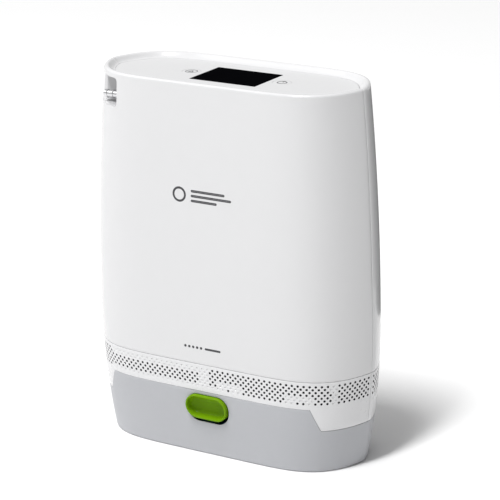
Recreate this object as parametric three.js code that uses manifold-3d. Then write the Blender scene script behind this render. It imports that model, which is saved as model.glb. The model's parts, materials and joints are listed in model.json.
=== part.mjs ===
// A portable oxygen concentrator with its slide-on battery pack, in millimetres.
// +X is to the right of someone who faces the front, -Y is the front, +Z is up.
// The origin is the middle of the underside of the battery, where the unit stands.
import * as THREE from "three";
import { mergeVertices } from "three/addons/utils/BufferGeometryUtils.js";
import Module from "manifold-3d";

const wasm = await Module();
wasm.setup();

// ---------- Driving dimensions ----------

const HEIGHT = 258; // floor to the top of the rim
const HALF_WIDTH = 105.5; // at the widest level
const HALF_DEPTH = 45.5; // at the widest level
const WIDEST_Z = 89; // level at which the body is widest
const TAPER_TOP = { x: 7.6, y: 5.3 }; // drawn in at the top, each side
const TAPER_BOTTOM = { x: 8.1, y: 4.8 }; // drawn in at the bottom, each side
const PLAN_POWER = { x: 6.3, y: 1.36 }; // exponents of the rounded-oblong plan
const PLAN_POINTS = 44; // points round the plan
const LEVEL_STEP = 22; // tallest facet of the body's sides
const RIM_ROUND = 1.8; // rounding of the rim's outer edge
const FOOT_ROUND = 1.6; // rounding of the battery's bottom edge

const GAP = 0.3; // between two pieces that touch
const WALL = 2.5; // casings of the main unit
const BATTERY_WALL = 2.5; // casing of the battery pack
const SEAM_Y = -3; // where the front and rear halves meet
const SHUT_LINE = 0.4; // visible line between battery and main unit

const BAND_TOP = 66; // parting line above the perforated band
const SKIRT_Z = 30.8; // lower edge of the white skirt
const TAB_TOP = 46.4; // top of the battery's front tab
const TAB_HALF_TOP = 76.3; // half width of the tab at its top
const TAB_HALF_FOOT = 83.3; // half width of the tab at the skirt's lower edge

const RIM_DEPTH = 3.6; // panel floor below the rim
const RIM_LAND = 4.6; // flat top of the rim, measured inwards
const RIM_SLOPE = 2.6; // further inwards to the foot of the rim's inner slope
const RIM_FOOT = 9; // rim's ring, top to underside
const PANEL_FLANGE = 2; // thickness of the flange that holds the panel under the rim
const PANEL_LAP = 3.6; // how far that flange reaches under the rim

const WINDOW = { x: 50.2, y: 37.4, midY: 1.9, thick: 1.2 }; // black display glass
const DISPLAY = { x: 44, y: 31, thick: 3.4 }; // display module under the glass
const KEY = { x: 35, y: 1.9, r: 6.5, thick: 1.6, travel: 0.5, stem: 2.2, below: 0.8, root: 0.4 };
const SWITCH = { side: 6, under: 1.5 }; // under each key, its top this far below the panel
const BOARD = 1.6; // thickness of every circuit board
const DISPLAY_BOARD = { x: 116, y: 46, drop: 3 }; // its top this far below the panel

const POCKET = {
  x: 34.5 - HALF_WIDTH,
  y: 37.5 - HALF_DEPTH,
  low: HEIGHT - 23.5,
  high: HEIGHT - 6.7,
  round: 4,
  liner: 1.6,
  power: 4,
};
const NOZZLE = {
  y: 20.5 - HALF_DEPTH,
  z: HEIGHT - 17.8,
  r: 2.3, // of its bare tube
  barb: 3.3,
  barbs: 3,
  waist: 1.9,
  crest: 0.45, // share of a barb's pitch at which it is widest
  foot: 0.3, // and at which it starts
  bore: 1.2,
  flange: 4.2,
  collar: 1.4, // thickness of the flange
  length: 15.5, // in front of the pocket's wall
  tail: 6, // behind it
  seat: 2,
};

const NUT = 2.4; // thickness of the nut behind the pocket

const BUTTON = { x: 0.5, z: 35.2, half: 16.2, r: 8.6, proud: 1.6, travel: 2.6, dish: 2.2, rim: 1.7 };
const LATCH = { x: 36, thick: 3, finger: 6, low: 31, high: 41, nose: 2.7, top: 49.2, noseLow: 47.4 };
const LATCH_RUN = 1.4 * GAP; // clearance that the latch slides in

const FLOOR_Z = 50.4; // underside of the chassis floor
const FLOOR_THICK = 3;

const CELL_R = 8.95;
const CELL = { r: CELL_R, length: 65, pitch: 2 * CELL_R + 0.35, rows: 4, step: 0.8, cap: 2 };
const CONNECTOR = { x: 0, y: 14, w: 34, d: 12, pins: 5, pitch: 6, blade: [0.8, 4.6], slot: [2, 6] };
const RECEPTACLE = { lap: [6, 4], flange: 2.4, root: 1, slot: 0.6 };
const PLUG = { less: 2, rise: 2, blade: 2.4 }; // narrower than the receptacle, and how far it stands up
const LID_TOP = 46;
const LID_THICK = 2;
const CASE_UPPER_WALL = 2.3;
const BATTERY_BOARD = { x: [-56, 56], y: [-24, 30], above: 1.2 };

const SOCKET = { x: -58, z: 84, r: 6.4, bore: 4.4, depth: 11.5, lead: 0.6, floor: 2, cup: 1, sunk: 0.8 };
const PIN = { r: 1.1, sunk: 2.5 }; // contact pin in the middle of that socket
const LABEL = { x: 34, z: 138, w: 62, h: 74, thick: 0.5 };
const SCREW = { x: 74, low: 76, high: HEIGHT - 32, head: 3.1, shank: 1.5, length: 9, sink: 1.2, neck: 2.2 };
const BOSS = { root: 1.6, tip: 2, well: 4 }; // that each screw stands in

const COMPRESSOR = { x: -33, z: 88, half: 25, front: -30.5, rear: 4.5, wall: 3.5, bore: 12 };
const HEAD = { r: 17, length: 14, cup: 8, fin: 1.4, fins: 3, groove: 2.5 };
const MOTOR = { r: 22, length: 27, wall: 1.6, shaft: 2.5, gap: 2.6 };
const PISTON = {
  stroke: 6,
  side: 3.3, // each piston's offset from the middle of the pair
  mid: -13,
  plate: 3,
  arm: 8,
  thick: 5, // of its arm and ring
  ring: 2.6,
  run: 0.4,
  play: 2.3,
};
const ECCENTRIC = { r: 7, thick: 13.5, stub: 2 };
const MOUNT = { r: 5, x: 16, y: 9, waist: 1.5, cuff: 0.3 };
const FAN = { x: 55, side: 60, thick: 15, bore: 27.5, hub: 12, plate: 1.6, arm: 3, run: 0.8 };
const BLADE = { count: 7, tilt: 38, thick: 1.2, root: 1.5, tip: 0.6, chord: 1.02 };

const MANIFOLD = { low: 121.5, thick: 13, left: -80, right: 32, front: -33, rear: 22 };
const BED = { r: 18.5, length: HEIGHT - 174, left: -60, right: -19, y: 2, flange: 1, shoulder: 5 };
const TANK = { r: 13.5, x: 16.5 };
const UPPER = { thick: 9, front: -18 };
const VALVE = { r: 6.5, y: -25, height: 18, x: [-50, -29], coil: 0.7, cone: 0.75, core: 0.6 };
const HOSE = 2.5; // radius of the internal hoses
const CONTROL = { x: [30, 80], y: 28, z: [82, HEIGHT - 46] }; // main circuit board
const SINK = { x: [37, 61], share: [0.11, 0.415], depth: 13, fins: 5, fin: 1.6, plate: 2 };
const CAPACITORS = [
  { x: 70, share: 0.14, r: 6, tall: 12 },
  { x: 70, share: 0.28, r: 5, tall: 10 },
];
const CHIPS = [
  { x: [40, 54], share: [0.52, 0.63], tall: 3 },
  { x: [62, 72], share: [0.52, 0.69], tall: 4 },
  { x: [38, 72], share: [0.88, 0.94], tall: 6 },
];
const SET_IN = 0.1; // how far one piece of a joined solid is sunk into the next
const INTAKE = { x: [44, 80], y: [-34, -6], z: 82, filter: 12, box: 26, wall: 1.5 };
const BUZZER = { r: 6, height: 5, x: 40 };

// ---------- Solids ----------

const sum = (solids) => solids.reduce((all, one) => all.add(one));

// A closed surface as a solid, with its faces turned outwards whichever way it was wound.
function solid(geometry) {
  const bare = geometry.index ? geometry.toNonIndexed() : geometry.clone();
  for (const name of Object.keys(bare.attributes)) {
    if (name !== "position") bare.deleteAttribute(name);
  }
  const merged = mergeVertices(bare, 1e-4);
  const vertProperties = merged.attributes.position.array;
  const triVerts = new Uint32Array(merged.index.array);
  const made = new wasm.Manifold(new wasm.Mesh({ numProp: 3, vertProperties, triVerts }));
  if (made.volume() > 0) return made;
  return new wasm.Manifold(new wasm.Mesh({ numProp: 3, vertProperties, triVerts: triVerts.reverse() }));
}

function geometryOf(body) {
  const mesh = body.getMesh();
  const points = new THREE.BufferAttribute(mesh.vertProperties, mesh.numProp);
  const geometry = new THREE.BufferGeometry().setAttribute("position", points);
  geometry.setIndex(new THREE.BufferAttribute(mesh.triVerts, 1));
  geometry.computeVertexNormals();
  return geometry;
}

// A box given by its two ends on each axis.
function box([x0, x1], [y0, y1], [z0, z1]) {
  const geometry = new THREE.BoxGeometry(x1 - x0, y1 - y0, z1 - z0);
  return solid(geometry.translate((x0 + x1) / 2, (y0 + y1) / 2, (z0 + z1) / 2));
}

// A span of the given size about a middle.
const about = (middle, size) => [middle - size / 2, middle + size / 2];

const TURNS = {
  x: new THREE.Matrix4().makeRotationY(Math.PI / 2),
  y: new THREE.Matrix4().makeRotationX(Math.PI / 2),
  z: new THREE.Matrix4(),
};

// A profile of [radius, height] pairs turned about an axis through the given point.
// The axis "x" runs towards +X, "y" towards -Y and "z" towards +Z.
function turned(profile, axis, [x, y, z], sides = 20) {
  const points = profile.map(([radius, height]) => new THREE.Vector2(radius, height));
  const geometry = new THREE.LatheGeometry(points, sides).rotateX(Math.PI / 2);
  return solid(geometry.applyMatrix4(TURNS[axis]).translate(x, y, z));
}

// A plain cylinder from its start along the axis.
function rod(radius, length, axis, start, sides = 20) {
  return turned([[0, 0], [radius, 0], [radius, length], [0, length]], axis, start, sides);
}

// A cylinder with a hole along it, open at both ends.
function pipe(outer, inner, length, axis, start, sides = 20) {
  const profile = [[inner, 0], [outer, 0], [outer, length], [inner, length], [inner, 0]];
  return turned(profile, axis, start, sides);
}

// A round tube along a smooth curve through the given points.
function tube(radius, points, steps, sides = 8) {
  const section = new THREE.Shape().absarc(0, 0, radius, 0, 2 * Math.PI, false);
  const path = new THREE.CatmullRomCurve3(points.map((p) => new THREE.Vector3(...p)));
  const settings = { extrudePath: path, steps, curveSegments: sides / 2, bevelEnabled: false };
  return solid(new THREE.ExtrudeGeometry(section, settings));
}

// A flat outline in X and Z, given thickness along Y from y0 to y1.
function upright(shape, [y0, y1], curveSegments = 8) {
  const settings = { depth: y1 - y0, bevelEnabled: false, curveSegments };
  const geometry = new THREE.ExtrudeGeometry(shape, settings);
  return solid(geometry.rotateX(Math.PI / 2).translate(0, y1, 0));
}

function stadium(half, radius, x, z) {
  const shape = new THREE.Shape();
  shape.absarc(x + half - radius, z, radius, -Math.PI / 2, Math.PI / 2, false);
  shape.absarc(x - half + radius, z, radius, Math.PI / 2, 1.5 * Math.PI, false);
  return shape;
}

// ---------- The body's outer form ----------

// How far the rounded rim and foot draw the surface in at a level.
function rounding(z) {
  const top = z - (HEIGHT - RIM_ROUND);
  const foot = FOOT_ROUND - z;
  if (top > 0) return RIM_ROUND - Math.sqrt(Math.max(0, RIM_ROUND ** 2 - top ** 2));
  if (foot > 0) return FOOT_ROUND - Math.sqrt(Math.max(0, FOOT_ROUND ** 2 - foot ** 2));
  return 0;
}

function halfAt(z, widest, taperTop, taperBottom) {
  const above = z > WIDEST_Z;
  const share = above ? (z - WIDEST_Z) / (HEIGHT - WIDEST_Z) : (WIDEST_Z - z) / WIDEST_Z;
  return widest - (above ? taperTop : taperBottom) * share ** 2;
}

const halfWidth = (z) => halfAt(z, HALF_WIDTH, TAPER_TOP.x, TAPER_BOTTOM.x);
const halfDepth = (z) => halfAt(z, HALF_DEPTH, TAPER_TOP.y, TAPER_BOTTOM.y);

const planShape = new THREE.Shape(
  Array.from({ length: PLAN_POINTS }, (_, i) => {
    const angle = ((i + 0.5) / PLAN_POINTS) * 2 * Math.PI;
    const [c, s] = [Math.cos(angle), Math.sin(angle)];
    return new THREE.Vector2(
      Math.sign(c) * Math.abs(c) ** (2 / PLAN_POWER.x),
      Math.sign(s) * Math.abs(s) ** (2 / PLAN_POWER.y),
    );
  }),
);

// Levels from low to high, close together where an edge is rounded.
function levels(low, high) {
  const marks = [low, high, HEIGHT - RIM_DEPTH, HEIGHT];
  const arc = [0.15, 1];
  for (const share of arc) {
    marks.push(FOOT_ROUND * share, HEIGHT - RIM_ROUND * share);
  }
  for (let z = LEVEL_STEP; z < HEIGHT; z += LEVEL_STEP) marks.push(z);
  const kept = marks.filter((z) => z >= low && z <= high).sort((a, b) => a - b);
  return kept.filter((z, i) => i === 0 || z === high || (z - kept[i - 1] > 0.1 && high - z > 0.1));
}

// The body's form between two levels, drawn in by an inset that may change with height.
function form(low, high, inset = 0, rounded = true) {
  const marks = levels(low, high);
  const steps = marks.length - 1;
  const geometry = new THREE.ExtrudeGeometry(planShape, { depth: steps, steps, bevelEnabled: false });
  const at = geometry.attributes.position;
  const insetAt = typeof inset === "function" ? inset : () => inset;
  for (let i = 0; i < at.count; i += 1) {
    const z = marks[Math.round(at.getZ(i))];
    const drawn = insetAt(z) + (rounded ? rounding(z) : 0);
    at.setXYZ(i, at.getX(i) * (halfWidth(z) - drawn), at.getY(i) * (halfDepth(z) - drawn), z);
  }
  return solid(geometry);
}

// A straight prism with the form's plan at one level.
function prism(low, high, inset, level) {
  const geometry = new THREE.ExtrudeGeometry(planShape, { depth: high - low, bevelEnabled: false });
  const [x, y] = [halfWidth(level) - inset, halfDepth(level) - inset];
  return solid(geometry.scale(x, y, 1).translate(0, 0, low));
}

const BEYOND = 1; // how far a cutting solid runs past the face it cuts
const everywhere = [-2 * HALF_WIDTH, 2 * HALF_WIDTH];
const frontSide = box(everywhere, [-2 * HALF_DEPTH, SEAM_Y - GAP / 2], [-BEYOND, HEIGHT + BEYOND]);
const rearSide = box(everywhere, [SEAM_Y + GAP / 2, 2 * HALF_DEPTH], [-BEYOND, HEIGHT + BEYOND]);

// ---------- Pieces, by sub-assembly ----------

const part = new THREE.Group();
const looks = {
  white: { color: 0xf1f1f2, roughness: 0.16, metalness: 0 },
  panel: { color: 0xe4e4e5, roughness: 0.4, metalness: 0 },
  grey: { color: 0xb0b2b6, roughness: 0.5, metalness: 0 },
  green: { color: 0x8ab82e, roughness: 0.15, metalness: 0 },
  glass: { color: 0x060607, roughness: 0.05, metalness: 0 },
  board: { color: 0x1d5b3a, roughness: 0.6, metalness: 0 },
  black: { color: 0x17181a, roughness: 0.55, metalness: 0 },
  steel: { color: 0xc4c6c8, roughness: 0.28, metalness: 1 },
  alloy: { color: 0xa9acb0, roughness: 0.45, metalness: 1 },
  brass: { color: 0xc8a252, roughness: 0.3, metalness: 1 },
  rubber: { color: 0x222224, roughness: 0.9, metalness: 0 },
  foam: { color: 0x55575b, roughness: 1, metalness: 0 },
  cell: { color: 0x2f6fae, roughness: 0.35, metalness: 0 },
  milky: { color: 0xdadfe2, roughness: 0.35, metalness: 0 },
};

function add(name, look, body) {
  const mesh = new THREE.Mesh(geometryOf(body), new THREE.MeshStandardMaterial(looks[look]));
  mesh.name = name;
  part.add(mesh);
}

// The scooped hollow at the top of the left front corner, grown by a margin: a square with
// a rounded corner in plan, with rounded edges above and below.
function scoop(margin) {
  const [reachX, reachY] = [HALF_WIDTH + POCKET.x + margin, HALF_DEPTH + POCKET.y + margin];
  const [low, high] = [POCKET.low - margin, POCKET.high + margin];
  const corner = POCKET.round + margin;
  const quarter = [0, 1, 2, 3, 4].map((i) => (i * Math.PI) / 8);
  const radius = (angle) => 1 - ((1 - Math.cos(angle)) * corner) / reachX;
  const rise = (angle) => (1 - Math.sin(angle)) * corner;
  const under = quarter.toReversed().map((a) => [radius(a), low + rise(a)]);
  const over = quarter.map((a) => [radius(a), high - rise(a)]);
  const profile = [[0, low], ...under, ...over, [0, high]];
  const points = profile.map(([r, z]) => new THREE.Vector2(r, z));
  const geometry = new THREE.LatheGeometry(points, 40).rotateX(Math.PI / 2);
  const at = geometry.attributes.position;
  for (let i = 0; i < at.count; i += 1) {
    const [x, y] = [at.getX(i), at.getY(i)];
    const square = (Math.abs(x) ** POCKET.power + Math.abs(y) ** POCKET.power) ** (1 / POCKET.power);
    const share = square > 0 ? Math.hypot(x, y) / square : 1;
    at.setXY(i, x * share, y * share);
  }
  return solid(geometry.scale(reachX, reachY, 1).translate(-HALF_WIDTH, -HALF_DEPTH, 0));
}

function makeShells() {
  const inner = HEIGHT - RIM_FOOT;
  const land = (z) => RIM_LAND + RIM_SLOPE * Math.min(1, Math.max(0, (HEIGHT - z) / RIM_DEPTH));
  const hollow = form(BAND_TOP - BEYOND, inner, WALL, false);
  const mouth = form(inner - BEYOND, HEIGHT + BEYOND, land, false);
  const whole = form(BAND_TOP + GAP, HEIGHT).subtract(hollow).subtract(mouth);
  const open = whole.subtract(scoop(POCKET.liner + GAP));
  const y = halfDepth(SOCKET.z);
  const socketHole = rod(SOCKET.r + GAP, 4 * WALL, "y", [SOCKET.x, y + WALL / 2, SOCKET.z]);
  const labelBed = box(
    about(LABEL.x, LABEL.w + 2 * GAP),
    [labelY() - GAP, HALF_DEPTH],
    about(LABEL.z, LABEL.h + 2 * GAP),
  );
  const bosses = sum(screwPlaces().map(boss)).intersect(form(BAND_TOP + GAP, HEIGHT));
  const rear = sum([open.intersect(rearSide), bosses])
    .subtract(socketHole)
    .subtract(labelBed)
    .subtract(sum(screwPlaces().map((place) => screw(place, GAP))));
  add("front_shell", "white", open.intersect(frontSide));
  add("rear_shell", "white", rear);
}

// The level of the sunken bed for the rating label: just under the flat of the rear.
const labelY = () => halfDepth(LABEL.z + LABEL.h / 2) - 2 * LABEL.thick;

function screwPlaces() {
  return [SCREW.low, SCREW.high].flatMap((z) => [-SCREW.x, SCREW.x].map((x) => [x, rearAt(x, z), z]));
}

// The rear surface's Y at a place on it.
function rearAt(x, z) {
  const share = 1 - (Math.abs(x) / halfWidth(z)) ** PLAN_POWER.x;
  return halfDepth(z) * share ** (1 / PLAN_POWER.y);
}

const boss = ([x, y, z]) =>
  rod(SCREW.head + WALL, SCREW.length - BOSS.tip, "y", [x, y - BOSS.root, z], 12);

// A countersunk-in screw whose head lies a little below the surface; the margin makes its hole.
function screw([x, y, z], margin = 0) {
  const top = margin ? -2 * SCREW.sink : SCREW.sink;
  const [head, shank] = [SCREW.head + margin, SCREW.shank + margin];
  const under = SCREW.sink + SCREW.neck + margin;
  const end = SCREW.length + (margin ? BOSS.well : 0);
  const profile = [[0, top], [head, top], [head, under], [shank, under], [shank, end], [0, end]];
  return turned(profile, "y", [x, y, z], 12);
}

function makeBand() {
  const tabCut = tabRegion(SHUT_LINE);
  const ring = form(SKIRT_Z, BAND_TOP).subtract(form(SKIRT_Z - BEYOND, BAND_TOP + BEYOND, WALL));
  const noseY = latchFront() - LATCH.nose;
  const catches = [-LATCH.x, LATCH.x].map((x) =>
    box(about(x, LATCH.finger), [noseY - WALL, noseY - LATCH_RUN], [TAB_TOP + SHUT_LINE, LATCH.top]),
  );
  const front = ring.intersect(frontSide).subtract(tabCut);
  const inside = catches.map((c) => c.intersect(form(SKIRT_Z, BAND_TOP)));
  add("lower_band_front", "white", sum([front, ...inside]));
  add("lower_band_rear", "white", ring.intersect(rearSide));
}

// The front region of the battery's tab, which widens downwards, grown by a margin.
function tabRegion(margin) {
  const slope = (TAB_HALF_FOOT - TAB_HALF_TOP) / (TAB_TOP - SKIRT_Z);
  const [low, high] = [SKIRT_Z - BEYOND, TAB_TOP + margin];
  const foot = TAB_HALF_FOOT + slope * BEYOND + margin;
  const shape = new THREE.Shape();
  shape.moveTo(-foot, low);
  shape.lineTo(foot, low);
  shape.lineTo(TAB_HALF_TOP + margin, high);
  shape.lineTo(-TAB_HALF_TOP - margin, high);
  return upright(shape, [-2 * HALF_DEPTH, SEAM_Y - BATTERY_WALL]);
}

function makePanel() {
  const top = HEIGHT - RIM_DEPTH;
  const under = HEIGHT - RIM_FOOT - GAP;
  const low = under - PANEL_FLANGE;
  const inset = RIM_LAND + RIM_SLOPE + GAP;
  const keySpots = [-KEY.x, KEY.x];
  const flange = form(low, under, inset - PANEL_LAP, false);
  const plate = flange.add(form(under - GAP, top, inset, false));
  const glassBed = box(
    about(0, WINDOW.x + 2 * GAP),
    about(WINDOW.midY, WINDOW.y + 2 * GAP),
    [top - WINDOW.thick - GAP, top + BEYOND],
  );
  const displayHole = box(
    about(0, DISPLAY.x + 2 * GAP),
    about(WINDOW.midY, DISPLAY.y + 2 * GAP),
    [low - BEYOND, top],
  );
  const keyHoles = keySpots.map((x) =>
    rod(KEY.r + GAP, KEY.thick + KEY.travel + GAP, "z", [x, KEY.y, top - KEY.thick - KEY.travel]),
  );
  const stemHoles = keySpots.map((x) =>
    rod(KEY.stem + GAP, top - low + BEYOND, "z", [x, KEY.y, low - BEYOND]),
  );
  const cuts = sum([glassBed, displayHole, ...keyHoles, ...stemHoles, scoop(POCKET.liner + GAP)]);
  add("control_panel", "panel", plate.subtract(cuts));
  const glass = [top - WINDOW.thick, top];
  add("display_window", "glass", box(about(0, WINDOW.x), about(WINDOW.midY, WINDOW.y), glass));
  const display = [top - WINDOW.thick - GAP - DISPLAY.thick, top - WINDOW.thick - GAP];
  add("display_module", "black", box(about(0, DISPLAY.x), about(WINDOW.midY, DISPLAY.y), display));
  const boardTop = low - DISPLAY_BOARD.drop;
  const capFoot = top - KEY.thick;
  const keyNames = ["alert_key", "power_key"];
  keySpots.forEach((x, i) => {
    const cap = rod(KEY.r, KEY.thick, "z", [x, KEY.y, capFoot]);
    const stem = rod(KEY.stem, capFoot + KEY.root - low + KEY.below, "z", [x, KEY.y, low - KEY.below], 10);
    add(keyNames[i], "panel", cap.add(stem));
  });
  const switches = keySpots.map((x) =>
    box(about(x, SWITCH.side), about(KEY.y, SWITCH.side), [boardTop - SET_IN, low - SWITCH.under]),
  );
  const boardZ = [boardTop - BOARD, boardTop];
  const board = box(about(0, DISPLAY_BOARD.x), about(WINDOW.midY, DISPLAY_BOARD.y), boardZ);
  add("display_board", "board", sum([board, ...switches]));
}

function makeOutlet() {
  const hollow = scoop(0);
  const wall = scoop(POCKET.liner).intersect(form(BAND_TOP, HEIGHT));
  const stop = POCKET.x + POCKET.liner + GAP;
  const throughWall = [POCKET.x - 2 * POCKET.round, NOZZLE.y, NOZZLE.z];
  const hole = rod(NOZZLE.r + GAP, 3 * POCKET.round, "x", throughWall, 24);
  add("nozzle_pocket", "milky", wall.subtract(hollow).subtract(hole));
  const pitch = (NOZZLE.length - NOZZLE.collar) / NOZZLE.barbs;
  const start = POCKET.x - NOZZLE.seat;
  const outline = [];
  for (let i = NOZZLE.barbs - 1; i >= 0; i -= 1) {
    const base = NOZZLE.collar + i * pitch;
    outline.push([NOZZLE.waist, base + pitch]);
    outline.push([NOZZLE.barb, base + NOZZLE.crest * pitch]);
    outline.push([NOZZLE.waist, base + NOZZLE.foot * pitch]);
  }
  const back = start - stop - NOZZLE.tail;
  const profile = [
    [NOZZLE.bore, NOZZLE.length],
    ...outline,
    [NOZZLE.waist, NOZZLE.collar],
    [NOZZLE.flange, NOZZLE.collar],
    [NOZZLE.flange, 0],
    [NOZZLE.r, 0],
    [NOZZLE.r, back],
    [NOZZLE.bore, back],
    [NOZZLE.bore, NOZZLE.length],
  ];
  const reversed = profile.map(([r, h]) => [r, -h]);
  add("outlet_nozzle", "steel", turned(reversed, "x", [start - GAP, NOZZLE.y, NOZZLE.z], 18));
  const nut = pipe(NOZZLE.flange, NOZZLE.r + 3 * GAP, NUT, "x", [stop + GAP, NOZZLE.y, NOZZLE.z], 6);
  add("nozzle_nut", "brass", nut);
}

function makeInlet() {
  const y = rearAt(SOCKET.x, SOCKET.z) - SOCKET.sunk;
  const profile = [
    [0, SOCKET.depth],
    [SOCKET.r, SOCKET.depth],
    [SOCKET.r, SOCKET.lead],
    [SOCKET.r - SOCKET.lead, 0],
    [SOCKET.bore, 0],
    [SOCKET.bore, SOCKET.depth - SOCKET.floor],
    [PIN.r + GAP, SOCKET.depth - SOCKET.floor],
    [PIN.r + GAP, SOCKET.depth - SOCKET.cup],
    [0, SOCKET.depth - SOCKET.cup],
  ].reverse();
  add("dc_inlet_socket", "black", turned(profile, "y", [SOCKET.x, y, SOCKET.z]));
  const pinStart = [SOCKET.x, y - PIN.sunk, SOCKET.z];
  const pinLength = SOCKET.depth - SOCKET.cup - GAP - PIN.sunk;
  add("dc_inlet_pin", "brass", rod(PIN.r, pinLength, "y", pinStart, 8));
  const label = [labelY(), labelY() + LABEL.thick];
  add("rating_label", "grey", box(about(LABEL.x, LABEL.w), label, about(LABEL.z, LABEL.h)));
  screwPlaces().forEach((place, i) => add(`shell_screw_${i + 1}`, "steel", screw(place)));
}

function makeChassis() {
  const floor = [FLOOR_Z, FLOOR_Z + FLOOR_THICK];
  const through = [FLOOR_Z - BEYOND, FLOOR_Z + FLOOR_THICK + BEYOND];
  const opening = [CONNECTOR.w + 2 * GAP, CONNECTOR.d + 2 * GAP];
  const cut = box(about(CONNECTOR.x, opening[0]), about(CONNECTOR.y, opening[1]), through);
  const exhaust = rod(FAN.bore - FAN.run, 3 * FLOOR_THICK, "z", [FAN.x, 0, FLOOR_Z - FLOOR_THICK]);
  const spokes = box(about(FAN.x, FAN.side), about(0, FLOOR_THICK), floor).add(
    box(about(FAN.x, FLOOR_THICK), about(0, FAN.side), floor),
  );
  const plate = form(...floor, WALL + 1.5 * GAP).subtract(cut.add(exhaust));
  add("chassis_floor", "black", plate.add(spokes));
  const flangeLow = FLOOR_Z + FLOOR_THICK + GAP;
  const socketBody = box(about(CONNECTOR.x, CONNECTOR.w), about(CONNECTOR.y, CONNECTOR.d), [
    FLOOR_Z,
    flangeLow + RECEPTACLE.root,
  ]);
  const flange = box(
    about(CONNECTOR.x, CONNECTOR.w + RECEPTACLE.lap[0]),
    about(CONNECTOR.y, CONNECTOR.d + RECEPTACLE.lap[1]),
    [flangeLow, flangeLow + RECEPTACLE.flange],
  );
  const slotZ = [FLOOR_Z - BEYOND, flangeLow + RECEPTACLE.slot];
  const slots = bladePlaces().map((x) =>
    box(about(x, CONNECTOR.slot[0]), about(CONNECTOR.y, CONNECTOR.slot[1]), slotZ),
  );
  add("battery_receptacle", "black", socketBody.add(flange).subtract(sum(slots)));
}

function bladePlaces() {
  const middle = (CONNECTOR.pins - 1) / 2;
  return Array.from({ length: CONNECTOR.pins }, (_, i) => CONNECTOR.x + (i - middle) * CONNECTOR.pitch);
}

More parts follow.
